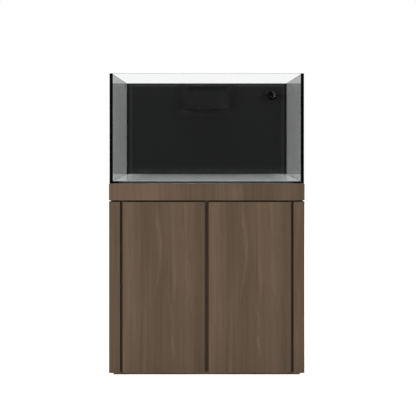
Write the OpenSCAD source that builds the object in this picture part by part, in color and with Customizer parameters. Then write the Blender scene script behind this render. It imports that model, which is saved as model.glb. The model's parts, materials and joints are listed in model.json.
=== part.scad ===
// Rimless aquarium with an overflow and a sump, on a two-door cabinet.
// Millimetres. +X is to the right, the front faces -Y and +Z is up.
// The origin is on the floor, under the middle of the cabinet.

/* [Tank] */
// Width of the glass tank
tank_w = 896; // [860:2:1200]
// Depth of the glass tank, front to back
tank_d = 500; // [440:2:650]
// Height of the glass tank
tank_h = 508; // [440:2:650]
// Thickness of the tank's panes
glass_t = 10; // [8:1:15]
// Width of the silicone joint between two panes
joint_t = 1; // [0.6:0.1:2]
// Leg of the silicone bead inside each upright corner
bead = 4; // [1.5:0.1:5]
// Thickness of the black film behind the back pane
film_t = 1; // [0.5:0.5:3]
// Thickness of the levelling mat, pressed flat
mat_t = 1; // [1:0.5:6]
// Distance of the mat inside the tank's outline
mat_inset = 2; // [0:0.5:6]
// Distance of the glass behind the cabinet's front
tank_inset = 3; // [0:1:20]
// Distance of the glass inside the cabinet's sides
side_inset = 2; // [0:1:20]

/* [Cabinet] */
// Depth behind the tank for the pipes
service_d = 97; // [90:1:140]
// Height of the doors' part of the cabinet
body_h = 788; // [720:2:860]
// Height of the band under the tank
band_h = 76; // [60:1:110]
// Height of the shadow gap below the band
shadow_gap = 7; // [6:1:14]
// Distance of the shadow board inside the sides
shadow_inset = 5; // [2:1:12]
// Thickness of the cabinet's boards
board_t = 18; // [16:1:22]
// Width of the two corner posts
post_w = 50; // [40:1:70]
// Height of the plinth
plinth_h = 14; // [12:1:60]
// Distance of the plinth inside the cabinet's edge
plinth_inset = 18; // [10:1:22]
// Width of the upright behind the gap between the doors
stile_w = 70; // [56:1:110]
// Height of the rails above the doors' opening
rail_h = 40; // [30:1:70]
// Radius of the hose and cable ports in the rear panel
port_r = 35; // [25:1:45]
// Distance of the ports from the middle
port_x = 250; // [200:5:300]
// Height of the ports above the floor
port_z = 620; // [560:5:700]

/* [Doors] */
// Thickness of the doors
door_t = 18; // [16:1:22]
// Finger gap between a door and its post
side_gap = 12.5; // [8:0.5:20]
// Finger gap between the two doors
centre_gap = 17.5; // [10:0.5:26]
// Space behind the closed doors, that their magnets fill
door_back = 3; // [3:0.5:5]
// Running space above and below a door
door_clear = 1; // [0.5:0.5:2]
// Radius of the pivot pins
pivot_r = 3; // [2.5:0.5:4]
// Distance of the pivots from a door's outer edge
pivot_in = 7; // [6:0.5:8]
// Depth that a pivot pin reaches into its hole
pivot_deep = 14; // [10:1:20]
// Thickness of the lower pivot plates
pivot_plate = 3; // [2:0.5:4]
// Radius of the door magnets
magnet_r = 6; // [4:0.5:8]
// Distance of the magnets from the middle
magnet_x = 22; // [18:0.5:26]

/* [Overflow] */
// Width of the weir box inside the tank
weir_w = 232; // [200:2:260]
// Height of the weir box
weir_h = 131; // [120:1:160]
// Depth of the weir box, front to back
weir_d = 45; // [42:1:60]
// Thickness of the weir box's walls
weir_wall = 5; // [3:0.5:6]
// Distance of the weir box below the tank's rim
weir_drop = 11; // [5:1:30]
// Height of the comb
comb_h = 34; // [30:1:40]
// Depth of the comb's slots
slot_h = 27.5; // [15:0.5:28]
// Width of a slot
slot_w = 6; // [4:0.5:8]
// Distance from one slot to the next
slot_pitch = 12.7; // [10:0.1:16]
// Distance of a weir port from the middle
weir_port_x = 62; // [50:1:70]
// Width of the outer overflow box
box_w = 260; // [240:2:300]
// Thickness of the outer box's walls
box_wall = 6; // [4:0.5:8]
// Thickness of the outer box's lid
lid_t = 4; // [3:0.5:6]
// Distance of a drain from the middle
drain_x = 70; // [66:1:76]

/* [Plumbing] */
// Outer radius of the pipes
pipe_r = 16; // [14:0.5:17]
// Wall thickness of the pipes
pipe_wall = 2.5; // [2:0.1:3]
// Radius of the pipes' bends
bend_r = 24; // [22:1:30]
// Height of the pipes' step towards the sump
jog_z = 560; // [540:5:580]
// Height of the gate valve
gate_z = 680; // [660:5:700]
// Height of the ball valve
ball_valve_z = 460; // [455:1:465]
// Distance of the nozzle from the tank's inner side
nozzle_side = 78; // [70:1:100]
// Distance of the nozzle below the rim
nozzle_drop = 66; // [50:1:120]
// Radius of the nozzle's ball
ball_r = 19.5; // [18:0.5:21]
// Radius of the nozzle's mouth
mouth_r = 13; // [9:0.5:14]
// Angle that the nozzle is turned to the left
nozzle_yaw = 42; // [0:1:45]
// Angle that the nozzle is turned upwards
nozzle_pitch = 12; // [0:1:20]

/* [Sump] */
// Depth of the sump, front to back
sump_d = 420; // [380:2:440]
// Height of the sump
sump_h = 360; // [340:2:370]
// Thickness of the sump's panes
sump_t = 6; // [5:0.5:8]
// Height of the baffles that carry the sock shelf
shelf_z = 253; // [230:1:280]
// Radius of the filter sock's bag
sock_r = 49.5; // [44:0.5:52]
// Length of the filter sock's bag
sock_l = 200; // [160:5:220]
// Radius of the pump's motor
motor_r = 36; // [32:1:38]
// Length of the pump's motor
motor_len = 90; // [80:1:120]

/* [Hidden] */
$fn = 64;

cut = 1;              // how far a cutter runs past a face
fit = 0.3;            // space round a sliding piece
glue = 0.1;           // glue line between two boards or panes of one frame
run = 0.05;           // radial space of a running or socket fit

// Cabinet, outside
cab_w = tank_w + 2 * side_inset;
cab_d = tank_inset + tank_d + service_d;
hx = cab_w / 2;
front_y = -cab_d / 2;
back_y = cab_d / 2;
body_z = plinth_h + body_h;
band_z = body_z + shadow_gap;
deck_z = band_z + band_h;
panel_x = hx - board_t;
panel_y = back_y - board_t;
frame_y = front_y + door_t + door_back;
frame_back = frame_y + board_t;
floor_in = plinth_h + board_t;

// Doors
door_x = hx - post_w - side_gap;
door_z0 = plinth_h + door_clear;
door_z1 = body_z - door_clear;
pivot_x = door_x - pivot_in;
pivot_y = front_y + door_t / 2;
frame_lap = 7.5;
plate_half = 11;
plate_back = 30;
plate_front = 2;
magnet_in = 60;
magnet_zs = [plinth_h + magnet_in, body_z - magnet_in];
strike_t = 1;
strike_rim = 2;
strike_r = magnet_r + strike_rim;
magnet_len = 10;

// Tank
glass_z = deck_z + mat_t;
floor_z = glass_z + glass_t;
rim_z = glass_z + tank_h;
tank_f = front_y + tank_inset;
tank_b = tank_f + tank_d;
in_x = tank_w / 2 - glass_t;
in_f = tank_f + glass_t;
in_b = tank_b - glass_t;
film_y = tank_b + film_t;
film_inset = 2;

// Fittings through a wall
pipe_in = pipe_r - pipe_wall;
tube_wall = 4;
tube_r = pipe_r + tube_wall;
tube_hole = tube_r + 0.5;
flange_w = 8;
flange_r = tube_r + flange_w;
flange_t = 6;
gasket_t = 2;
nut_t = 10;
socket_l = 20;
fitting_wall = 3.5;
fitting_r = pipe_r + fitting_wall;
collar_l = 8;

// Weir box, comb and outer box
weir_top = rim_z - weir_drop;
weir_bot = weir_top - weir_h;
weir_b = in_b - gasket_t;
weir_f = weir_b - weir_d;
weir_in = weir_w / 2 - weir_wall;
comb_z = weir_top - comb_h;
comb_end = 5;
slots = floor((2 * weir_in - 2 * comb_end + slot_pitch - slot_w) / slot_pitch);
tongue_t = 3;
tongue_h = 16;
guide_y = weir_f + weir_wall + tongue_t + 2 * fit;
guide_w = 4;
weir_port_up = 48;
weir_port_z = weir_bot + weir_port_up;
box_gap = 9;
box_under = 12;
box_drop = 8;
box_f = film_y + gasket_t;
box_b = back_y - box_gap;
box_bot = weir_bot - box_under;
box_top = rim_z - box_drop - lid_t;
pipe_y = (box_f + box_b) / 2;
drain_top = box_bot + box_wall + gasket_t + flange_t;
socket_step = 8;
drain_bot = drain_top - 2 * socket_l - socket_step;
nut_end = 4;
nut_rim = 9;
lip_h = 8;
lip_t = 4;
main_up = 44;
slit_w = 4;
slit_h = 20;
slit_drop = 30;
open_drop = 30;
pipe_reach = 40;
clip_h = 14;
clip_foot = 10;

// Cut-outs for the pipes at the back of the cabinet
pass = 14;
pass_f = pipe_y - pipe_r - pass;

// Nozzle and return
nozzle_x = in_x - nozzle_side;
nozzle_z = rim_z - nozzle_drop;
ball_out = 35;
ball_y = in_b - ball_out;
ball_hollow = 1;
collar_wall = 3;
collar_r = ball_r + collar_wall;
collar_lip = 6;
collar_front = ball_y - collar_lip;
nozzle_flange = 5.6;
flange_lip = 2.5;
return_tube = pipe_r;
return_hole = return_tube + 0.5;
return_wall = 5;
return_bore = return_tube - return_wall;
return_in = 14;
return_y0 = in_b - return_in;
pipe_stop = 2;
socket_wall = 5;

// Valves
gate_r = pipe_in + 2;
gate_t = 10;
gate_back = 28;
gate_travel = 2 * gate_r;
gate_y = pipe_y - gate_travel;
gate_half = 40;
gate_seat = 2;
bonnet_wall = 4;
bonnet_l = 64;
bonnet_y = pipe_y - bonnet_l;
bonnet_end = 8;
valve_r = tube_r + 2;
gland_r = 10;
gland_l = 12;
stem_r = 3;
stem_in = 8;
wheel_r = 27;
wheel_rim = 4;
wheel_y = bonnet_y - 2 * gland_l;
hub_r = 8;
hub_l = 14;
spoke_w = 5;
spoke_t = 4;
ball_half = 42;
ball_socket = 18;
ball_wall = 5.5;
ball_shell = 8;
valve_ball_r = pipe_in + ball_wall;
stem_slot = 1.5;
valve_gland = 38;
lever_stem = 5;
lever_l = 85;
lever_w = 16;
lever_t = 5;
lever_hub_r = 12;
lever_hub_t = 6;
lever_gap = 2;

// Sump, placed against the rear panel
sump_side = 22;
sump_back = 52;
sump_x = panel_x - sump_side;
sump_b = panel_y - sump_back;
sump_f = sump_b - sump_d;
sump_z = floor_in;
sump_floor_z = sump_z + sump_t;
sump_top = sump_z + sump_h;
sump_in = sump_x - sump_t;
drop_in = 80;
drop_y = sump_b - drop_in;
shelf_top = sump_floor_z + shelf_z;
shelf_t = 8;
shelf_rim = 24;
inlet_left = 95;
inlet_right = 80;
trap_w = 30;
trap_x = drain_x + inlet_right;
baffle_xs = [-drain_x - inlet_left, -drain_x + inlet_right, trap_x, trap_x + trap_w, trap_x + 2 * trap_w];
under = 40;
water_z = 230;
// Each baffle's lowest and highest level above the sump's floor
baffle_zs = [
    [0, shelf_z], [under, shelf_z], [0, water_z], [under, water_z + under / 2], [0, water_z - under / 2],
];
shelf_clear = 1;
sock_rim = 8;
sock_ring_r = sock_r + sock_rim;
sock_wall = 2.5;
sock_ring_t = 6;

// Pump
pump_side = 24;
pump_up = 50;
pump_x = nozzle_x - pump_side;
pump_z = sump_floor_z + pump_up;
volute_r = 42;
volute_half = 16;
volute_wall = 6;
volute_end = 4;
chamber_r = volute_r - volute_wall;
chamber_half = volute_half - volute_end;
inlet_r = 14;
outlet_r = 12;
impeller_r = 30;
impeller_hub = 8;
disc_t = 3;
vane_h = 13;
vane_t = 2;
disc_in = 5;
disc_y = drop_y - volute_half + disc_in;
pump_neck = 78;
pump_top = pump_z + pump_neck;
shaft_r = 4;
shaft_short = 26;
rib_t = 5;
rib_pitch = 12;
rib_h = 3;
rib_end = 14;
cable_r = 9;
cable_bore = 3.5;
cable_l = 14;
foot_w = 56;
foot_h = 12;
foot_end = 10;
strainer_l = 38;
strainer_r = 26;
strainer_wall = 3;
grille_w = 3;
grille_l = 24;
grille_end = 6;

// A block between two opposite corners
module slab(a, b) {
    translate(a) cube(b - a);
}

// Rods along Z, Y and X
module rod_z(x, y, z0, z1, r) {
    translate([x, y, z0]) cylinder(h = z1 - z0, r = r);
}

module rod_y(x, z, y0, y1, r) {
    translate([x, y0, z]) rotate([-90, 0, 0]) cylinder(h = y1 - y0, r = r);
}

// The children on the right, and their mirror image on the left
module both_sides() {
    children();
    mirror([1, 0, 0]) children();
}

// A bent run between points that lie straight along the axes from each other
module run_of(points, r) {
    last = len(points) - 1;
    for (i = [0 : last - 1]) {
        a = points[i];
        b = points[i + 1];
        d = (b - a) / norm(b - a);
        start = i == 0 ? a : a + d * bend_r;
        end = i == last - 1 ? b : b - d * bend_r;
        straight(start, end, r);
    }
    for (i = [1 : last - 1]) bend(points, i, r) circle(r);
}

// A straight rod between two points on one axis
module straight(a, b, r) {
    d = (b - a) / norm(b - a);
    u = abs(d[2]) > 0.5 ? [1, 0, 0] : [0, 0, 1];
    v = cross(d, u);
    multmatrix([
        [u[0], v[0], d[0], a[0]],
        [u[1], v[1], d[1], a[1]],
        [u[2], v[2], d[2], a[2]],
    ]) cylinder(h = norm(b - a), r = r);
}

// The quarter bend at one point of a run
module bend(points, i, r) {
    p = points[i];
    a = (p - points[i - 1]) / norm(p - points[i - 1]);
    b = (points[i + 1] - p) / norm(points[i + 1] - p);
    c = p + (b - a) * bend_r;
    n = cross(a, b);
    multmatrix([
        [-b[0], a[0], n[0], c[0]],
        [-b[1], a[1], n[1], c[1]],
        [-b[2], a[2], n[2], c[2]],
    ]) rotate_extrude(angle = 90) translate([bend_r, 0]) children();
}

// Elbow fittings at a run's bends, with a short collar each way
module elbows(points) {
    for (i = [1 : len(points) - 2]) {
        p = points[i];
        a = (p - points[i - 1]) / norm(p - points[i - 1]);
        b = (points[i + 1] - p) / norm(points[i + 1] - p);
        bend(points, i, fitting_r) circle(fitting_r);
        straight(p - a * (bend_r + collar_l), p - a * bend_r, fitting_r);
        straight(p + b * bend_r, p + b * (bend_r + collar_l), fitting_r);
    }
}

// A pipe with its elbows
module pipe(points) {
    last = len(points) - 1;
    d0 = (points[1] - points[0]) / norm(points[1] - points[0]);
    d1 = (points[last] - points[last - 1]) / norm(points[last] - points[last - 1]);
    inner = [for (i = [0 : last])
        i == 0 ? points[0] - d0 * cut : i == last ? points[last] + d1 * cut : points[i]];
    difference() {
        union() {
            run_of(points, pipe_r);
            elbows(points);
        }
        run_of(inner, pipe_in);
    }
}

// The path of a pipe from the height z0, forward over the sump and down to z1
function drop_path(x, z0, z1) = [
    [x, pipe_y, z0], [x, pipe_y, jog_z], [x, drop_y, jog_z], [x, drop_y, z1],
];

// ---- Tank ----

module side_glass() {
    slab([in_x, in_f + joint_t, glass_z], [tank_w / 2, in_b - joint_t, rim_z]);
}

module right_glass() {
    color([0.82, 0.9, 0.88, 0.35]) side_glass();
}

module left_glass() {
    color([0.82, 0.9, 0.88, 0.35]) mirror([1, 0, 0]) side_glass();
}

module front_glass() {
    color([0.82, 0.9, 0.88, 0.35])
        slab([-tank_w / 2, tank_f, glass_z], [tank_w / 2, in_f, rim_z]);
}

// Holes for the fittings through the back pane and its film
module back_holes(y0, y1) {
    both_sides() rod_y(weir_port_x, weir_port_z, y0, y1, tube_hole);
    rod_y(nozzle_x, nozzle_z, y0, y1, return_hole);
}

module back_glass() {
    color([0.82, 0.9, 0.88, 0.35]) difference() {
        slab([-tank_w / 2, in_b, glass_z], [tank_w / 2, tank_b, rim_z]);
        back_holes(in_b - cut, tank_b + cut);
    }
}

module bottom_glass() {
    color([0.82, 0.9, 0.88, 0.35])
        slab([-in_x + joint_t, in_f + joint_t, glass_z], [in_x - joint_t, in_b - joint_t, floor_z]);
}

// One upright corner on the right: the joint at the end of the side pane, and the bead inside
module upright_seam(corner_y, inward) {
    seam_y = corner_y + inward * joint_t;
    slab([in_x, min(corner_y, seam_y), glass_z], [tank_w / 2, max(corner_y, seam_y), rim_z]);
    translate([0, 0, floor_z]) linear_extrude(rim_z - floor_z)
        polygon([[in_x, corner_y], [in_x - bead, corner_y], [in_x, corner_y + inward * bead]]);
}

module silicone_seams() {
    color([0.03, 0.03, 0.03]) union() {
        both_sides() {
            upright_seam(in_f, 1);
            upright_seam(in_b, -1);
        }
        difference() {
            slab([-in_x, in_f, glass_z], [in_x, in_b, floor_z]);
            slab([-in_x + joint_t, in_f + joint_t, glass_z - cut],
                [in_x - joint_t, in_b - joint_t, floor_z + cut]);
        }
    }
}

module black_background() {
    color([0.09, 0.09, 0.09]) difference() {
        slab([-tank_w / 2 + film_inset, tank_b, glass_z], [tank_w / 2 - film_inset, film_y, rim_z]);
        back_holes(tank_b - cut, film_y + cut);
    }
}

module levelling_mat() {
    color([0.9, 0.9, 0.88])
        slab([mat_inset - tank_w / 2, tank_f + mat_inset, deck_z],
            [tank_w / 2 - mat_inset, tank_b - mat_inset, glass_z]);
}

// ---- Overflow ----

module weir_box() {
    color([0.1, 0.1, 0.1]) {
        difference() {
            slab([-weir_w / 2, weir_f, weir_bot], [weir_w / 2, weir_b, weir_top]);
            slab([-weir_in, weir_f + weir_wall, weir_bot + weir_wall],
                [weir_in, weir_b - weir_wall, weir_top + cut]);
            slab([-weir_in, weir_f - cut, comb_z], [weir_in, weir_f + weir_wall + cut, weir_top + cut]);
            both_sides()
                rod_y(weir_port_x, weir_port_z, weir_b - weir_wall - cut, weir_b + cut, tube_hole);
        }
        both_sides()
            slab([weir_in - guide_w, guide_y, weir_bot + weir_wall], [weir_in, guide_y + tongue_t, comb_z]);
    }
}

module weir_comb() {
    half = weir_in - fit;
    back = weir_f + weir_wall + fit + tongue_t;
    color([0.08, 0.08, 0.08]) {
        difference() {
            slab([-half, weir_f, comb_z], [half, weir_f + weir_wall, weir_top]);
            for (i = [0 : slots - 1]) {
                x = (i - (slots - 1) / 2) * slot_pitch;
                slab([x - slot_w / 2, weir_f - cut, weir_top - slot_h],
                    [x + slot_w / 2, weir_f + weir_wall + cut, weir_top + cut]);
            }
        }
        slab([-half, weir_f + weir_wall, comb_z], [half, back, weir_top - slot_h]);
        slab([-half, back - tongue_t, comb_z - tongue_h], [half, back, comb_z]);
    }
}

// A threaded tube with a flange, lying along Y through the back pane
module weir_bulkheads() {
    y0 = weir_b - weir_wall - flange_t;
    y1 = box_f + box_wall + nut_t + nut_end;
    color([0.12, 0.12, 0.12]) both_sides() difference() {
        union() {
            rod_y(weir_port_x, weir_port_z, y0, y0 + flange_t, flange_r);
            rod_y(weir_port_x, weir_port_z, y0, y1, tube_r);
        }
        rod_y(weir_port_x, weir_port_z, y0 - cut, y1 + cut, pipe_r);
    }
}

module overflow_box() {
    color([0.1, 0.1, 0.1]) difference() {
        slab([-box_w / 2, box_f, box_bot], [box_w / 2, box_b, box_top]);
        slab([-box_w / 2 + box_wall, box_f + box_wall, box_bot + box_wall],
            [box_w / 2 - box_wall, box_b - box_wall, box_top + cut]);
        both_sides() {
            rod_y(weir_port_x, weir_port_z, box_f - cut, box_f + box_wall + cut, tube_hole);
            rod_z(drain_x, pipe_y, box_bot - cut, box_bot + box_wall + cut, tube_hole);
        }
    }
}

module overflow_lid() {
    x = box_w / 2 - box_wall - fit;
    y0 = box_f + box_wall + fit;
    y1 = box_b - box_wall - fit;
    color([0.1, 0.1, 0.1]) {
        slab([-box_w / 2, box_f, box_top], [box_w / 2, box_b, box_top + lid_t]);
        difference() {
            slab([-x, y0, box_top - lip_h], [x, y1, box_top]);
            slab([-x + lip_t, y0 + lip_t, box_top - lip_h - cut], [x - lip_t, y1 - lip_t, box_top]);
        }
    }
}

module drain_bulkheads() {
    color([0.12, 0.12, 0.12]) both_sides() difference() {
        union() {
            rod_z(drain_x, pipe_y, drain_top - flange_t, drain_top, flange_r);
            rod_z(drain_x, pipe_y, drain_bot, drain_top, tube_r);
        }
        rod_z(drain_x, pipe_y, drain_bot - cut, drain_top + cut, pipe_in);
        rod_z(drain_x, pipe_y, drain_top - socket_l, drain_top + cut, pipe_r + run);
        rod_z(drain_x, pipe_y, drain_bot - cut, drain_bot + socket_l, pipe_r + run);
    }
}

// A six-sided nut that stands on the plane z = 0
module hex_nut(bore, height) {
    difference() {
        cylinder(h = height, r = bore + nut_rim, $fn = 6);
        translate([0, 0, -cut]) cylinder(h = height + 2 * cut, r = bore + run);
    }
}

module bulkhead_nuts() {
    color([0.14, 0.14, 0.14]) both_sides() {
        translate([weir_port_x, box_f + box_wall, weir_port_z]) rotate([-90, 0, 0]) hex_nut(tube_r, nut_t);
        translate([drain_x, pipe_y, box_bot - nut_t]) hex_nut(tube_r, nut_t);
    }
}

// A flat rubber ring that stands on the plane z = 0
module ring(outer, inner) {
    difference() {
        cylinder(h = gasket_t, r = outer);
        translate([0, 0, -cut]) cylinder(h = gasket_t + 2 * cut, r = inner);
    }
}

module bulkhead_gaskets() {
    color([0.05, 0.05, 0.05]) {
        both_sides() {
            for (y = [weir_b, film_y])
                translate([weir_port_x, y, weir_port_z]) rotate([-90, 0, 0]) ring(flange_r, tube_hole);
            translate([drain_x, pipe_y, box_bot + box_wall]) ring(flange_r, tube_hole);
        }
        for (y = [in_b - gasket_t, film_y])
            translate([nozzle_x, y, nozzle_z]) rotate([-90, 0, 0]) ring(collar_r, return_hole);
    }
}

// The main drain's strainer on the left, the open emergency pipe on the right
module stand_pipes() {
    foot = drain_top - socket_l;
    main_top = drain_top + main_up;
    open_top = weir_top - open_drop;
    color([0.3, 0.31, 0.32]) {
        difference() {
            rod_z(-drain_x, pipe_y, foot, main_top, pipe_r);
            rod_z(-drain_x, pipe_y, foot - cut, main_top - pipe_wall, pipe_in);
            for (a = [0 : 45 : 135])
                translate([-drain_x, pipe_y, main_top - slit_drop]) rotate([0, 0, a])
                    translate([-pipe_r - cut, -slit_w / 2, 0]) cube([2 * pipe_r + 2 * cut, slit_w, slit_h]);
        }
        difference() {
            rod_z(drain_x, pipe_y, foot, open_top, pipe_r);
            rod_z(drain_x, pipe_y, foot - cut, open_top + cut, pipe_in);
        }
    }
}

// ---- Pipes and valves ----

module drain_pipe_upper() {
    z0 = gate_z + gate_half - socket_l;
    z1 = drain_bot + socket_l;
    color([0.45, 0.46, 0.47]) difference() {
        rod_z(-drain_x, pipe_y, z0, z1, pipe_r);
        rod_z(-drain_x, pipe_y, z0 - cut, z1 + cut, pipe_in);
    }
}

module drain_pipe_lower() {
    color([0.45, 0.46, 0.47])
        pipe(drop_path(-drain_x, gate_z - gate_half + socket_l, shelf_top - pipe_reach));
}

module emergency_pipe() {
    color([0.45, 0.46, 0.47])
        pipe(drop_path(drain_x, drain_bot + socket_l, shelf_top - pipe_reach));
}

module return_riser() {
    color([0.45, 0.46, 0.47]) pipe([
        [nozzle_x, box_f + pipe_stop, nozzle_z], [nozzle_x, pipe_y, nozzle_z], [nozzle_x, pipe_y, jog_z],
        [nozzle_x, drop_y, jog_z], [nozzle_x, drop_y, ball_valve_z + ball_half - ball_socket],
    ]);
}

module return_tail() {
    z0 = pump_top - socket_l;
    z1 = ball_valve_z - ball_half + ball_socket;
    color([0.45, 0.46, 0.47]) difference() {
        rod_z(nozzle_x, drop_y, z0, z1, pipe_r);
        rod_z(nozzle_x, drop_y, z0 - cut, z1 + cut, pipe_in);
    }
}

// Saddle clips that hold the three pipes to the rear panel
module pipe_clips() {
    clip_z = (gate_z + gate_half + body_z) / 2;
    color([0.2, 0.2, 0.2]) for (x = [-drain_x, drain_x, nozzle_x]) difference() {
        union() {
            rod_z(x, pipe_y, clip_z, clip_z + clip_h, fitting_r);
            slab([x - clip_foot, pipe_y, clip_z], [x + clip_foot, panel_y, clip_z + clip_h]);
        }
        rod_z(x, pipe_y, clip_z - cut, clip_z + clip_h + cut, pipe_r + run);
    }
}

module gate_valve_body() {
    x = -drain_x;
    slot = gate_r + fit;
    color([0.5, 0.51, 0.52]) difference() {
        union() {
            rod_z(x, pipe_y, gate_z - gate_half, gate_z + gate_half, valve_r);
            rod_y(x, gate_z, bonnet_y, pipe_y, gate_r + bonnet_wall);
            rod_y(x, gate_z, bonnet_y - gland_l, bonnet_y, gland_r);
        }
        rod_z(x, pipe_y, gate_z - gate_half - cut, gate_z + gate_half + cut, pipe_in);
        for (z = [gate_z - gate_half - cut, gate_z + gate_half - socket_l])
            rod_z(x, pipe_y, z, z + socket_l + cut, pipe_r + run);
        rod_z(x, pipe_y, gate_z - gate_t / 2 - fit, gate_z + gate_t / 2 + fit, slot);
        slab([x - slot, gate_y - gate_back - gate_seat, gate_z - gate_t / 2 - fit],
            [x + slot, pipe_y, gate_z + gate_t / 2 + fit]);
        rod_y(x, gate_z, bonnet_y - gland_l - cut, bonnet_y + bonnet_end, stem_r + run);
    }
}

module gate_valve_gate() {
    x = -drain_x;
    color([0.75, 0.76, 0.78]) difference() {
        union() {
            rod_z(x, gate_y, gate_z - gate_t / 2, gate_z + gate_t / 2, gate_r);
            slab([x - gate_r, gate_y - gate_back, gate_z - gate_t / 2],
                [x + gate_r, gate_y, gate_z + gate_t / 2]);
        }
        rod_y(x, gate_z, gate_y - gate_back - cut, gate_y + stem_in + gate_seat, stem_r + run);
    }
}

module gate_valve_wheel() {
    x = -drain_x;
    color([0.7, 0.12, 0.1]) {
        rod_y(x, gate_z, wheel_y, gate_y + stem_in, stem_r);
        rod_y(x, gate_z, wheel_y - hub_l / 2, wheel_y + hub_l / 2, hub_r);
        translate([x, wheel_y, gate_z]) rotate([-90, 0, 0]) {
            rotate_extrude() translate([wheel_r, 0]) circle(wheel_rim);
            for (a = [0 : 72 : 288]) rotate([0, 0, a])
                translate([0, -spoke_w / 2, -spoke_t / 2]) cube([wheel_r, spoke_w, spoke_t]);
        }
    }
}

module ball_valve_body() {
    x = nozzle_x;
    z = ball_valve_z;
    color([0.3, 0.31, 0.33]) difference() {
        union() {
            rod_z(x, drop_y, z - ball_half, z + ball_half, valve_r);
            translate([x, drop_y, z]) sphere(valve_ball_r + ball_shell);
            rod_y(x, z, drop_y - valve_gland, drop_y, gland_r);
        }
        translate([x, drop_y, z]) sphere(valve_ball_r + fit);
        rod_z(x, drop_y, z - ball_half - cut, z + ball_half + cut, pipe_in);
        for (z0 = [z - ball_half - cut, z + ball_half - ball_socket])
            rod_z(x, drop_y, z0, z0 + ball_socket + cut, pipe_r + run);
        rod_y(x, z, drop_y - valve_gland - cut, drop_y, lever_stem + run);
    }
}

module ball_valve_ball() {
    color([0.92, 0.92, 0.9]) difference() {
        translate([nozzle_x, drop_y, ball_valve_z]) sphere(valve_ball_r);
        rod_z(nozzle_x, drop_y, ball_valve_z - valve_ball_r - cut, ball_valve_z + valve_ball_r + cut,
            pipe_in);
        rod_y(nozzle_x, ball_valve_z, drop_y - valve_ball_r - cut, drop_y - pipe_in - stem_slot,
            lever_stem + run);
    }
}

module ball_valve_lever() {
    x = nozzle_x;
    y = drop_y - valve_gland - lever_gap - lever_hub_t;
    top = ball_valve_z + lever_l - lever_w / 2;
    color([0.7, 0.12, 0.1]) {
        rod_y(x, ball_valve_z, y, drop_y - pipe_in - stem_slot, lever_stem);
        rod_y(x, ball_valve_z, y, y + lever_hub_t, lever_hub_r);
        slab([x - lever_w / 2, y, ball_valve_z], [x + lever_w / 2, y + lever_t, top]);
        rod_y(x, top, y, y + lever_t, lever_w / 2);
    }
}

module union_nuts() {
    color([0.25, 0.26, 0.27]) translate([nozzle_x, drop_y, 0]) {
        translate([0, 0, ball_valve_z + ball_half]) hex_nut(pipe_r, nut_t);
        translate([0, 0, ball_valve_z - ball_half - nut_t]) hex_nut(pipe_r, nut_t);
        translate([0, 0, pump_top]) hex_nut(pipe_r, nut_t);
    }
}

module return_bulkhead() {
    y1 = pipe_y - bend_r - collar_l;
    color([0.12, 0.12, 0.12]) difference() {
        union() {
            rod_y(nozzle_x, nozzle_z, return_y0, y1, return_tube);
            rod_y(nozzle_x, nozzle_z, box_f, box_f + flange_t, return_tube + 2 * socket_wall);
            rod_y(nozzle_x, nozzle_z, box_f, y1, pipe_r + socket_wall);
        }
        rod_y(nozzle_x, nozzle_z, return_y0 - cut, y1 + cut, return_bore);
        rod_y(nozzle_x, nozzle_z, box_f + pipe_stop, y1 + cut, pipe_r + run);
    }
}

module nozzle_collar() {
    flange_y = in_b - gasket_t;
    color([0.06, 0.06, 0.06]) difference() {
        union() {
            rod_y(nozzle_x, nozzle_z, collar_front, flange_y, collar_r);
            rod_y(nozzle_x, nozzle_z, flange_y - nozzle_flange, flange_y, collar_r + flange_lip);
        }
        translate([nozzle_x, ball_y, nozzle_z]) rotate([-90, 0, 0]) sphere(ball_r + fit);
        rod_y(nozzle_x, nozzle_z, ball_y, flange_y + cut, return_tube + run);
    }
}

module nozzle_eyeball() {
    color([0.03, 0.03, 0.03]) translate([nozzle_x, ball_y, nozzle_z]) difference() {
        rotate([-90, 0, 0]) sphere(ball_r);
        rotate([90 - nozzle_pitch, 0, -nozzle_yaw]) cylinder(h = ball_r + cut, r = mouth_r);
        rotate([-90, 0, 0]) cylinder(h = ball_r + cut, r = mouth_r);
        rotate([-90, 0, 0]) sphere(mouth_r + ball_hollow);
    }
}

// ---- Sump ----

module sump_floor() {
    color([0.8, 0.88, 0.86, 0.4])
        slab([-sump_x, sump_f, sump_z], [sump_x, sump_b, sump_floor_z]);
}

module sump_walls() {
    color([0.8, 0.88, 0.86, 0.4]) {
        slab([-sump_x, sump_f, sump_floor_z], [sump_x, sump_f + sump_t, sump_top]);
        slab([-sump_x, sump_b - sump_t, sump_floor_z], [sump_x, sump_b, sump_top]);
        both_sides()
            slab([sump_in, sump_f + sump_t + glue, sump_floor_z],
                [sump_x, sump_b - sump_t - glue, sump_top]);
    }
}

module sump_baffles() {
    color([0.8, 0.88, 0.86, 0.4]) for (i = [0 : len(baffle_xs) - 1])
        slab([baffle_xs[i], sump_f + sump_t, sump_floor_z + baffle_zs[i][0]],
            [baffle_xs[i] + sump_t, sump_b - sump_t, sump_floor_z + baffle_zs[i][1]]);
}

module sock_shelf() {
    media_b = drop_y - sock_ring_r - shelf_rim / 2;
    color([0.08, 0.08, 0.08]) difference() {
        slab([baffle_xs[0], sump_f + sump_t + shelf_clear, shelf_top],
            [baffle_xs[1] + sump_t, sump_b - sump_t - shelf_clear, shelf_top + shelf_t]);
        rod_z(-drain_x, drop_y, shelf_top - cut, shelf_top + shelf_t + cut, sock_r + shelf_clear);
        slab([baffle_xs[0] + shelf_rim, sump_f + sump_t + shelf_rim, shelf_top - cut],
            [baffle_xs[1] + sump_t - shelf_rim, media_b, shelf_top + shelf_t + cut]);
    }
}

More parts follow.
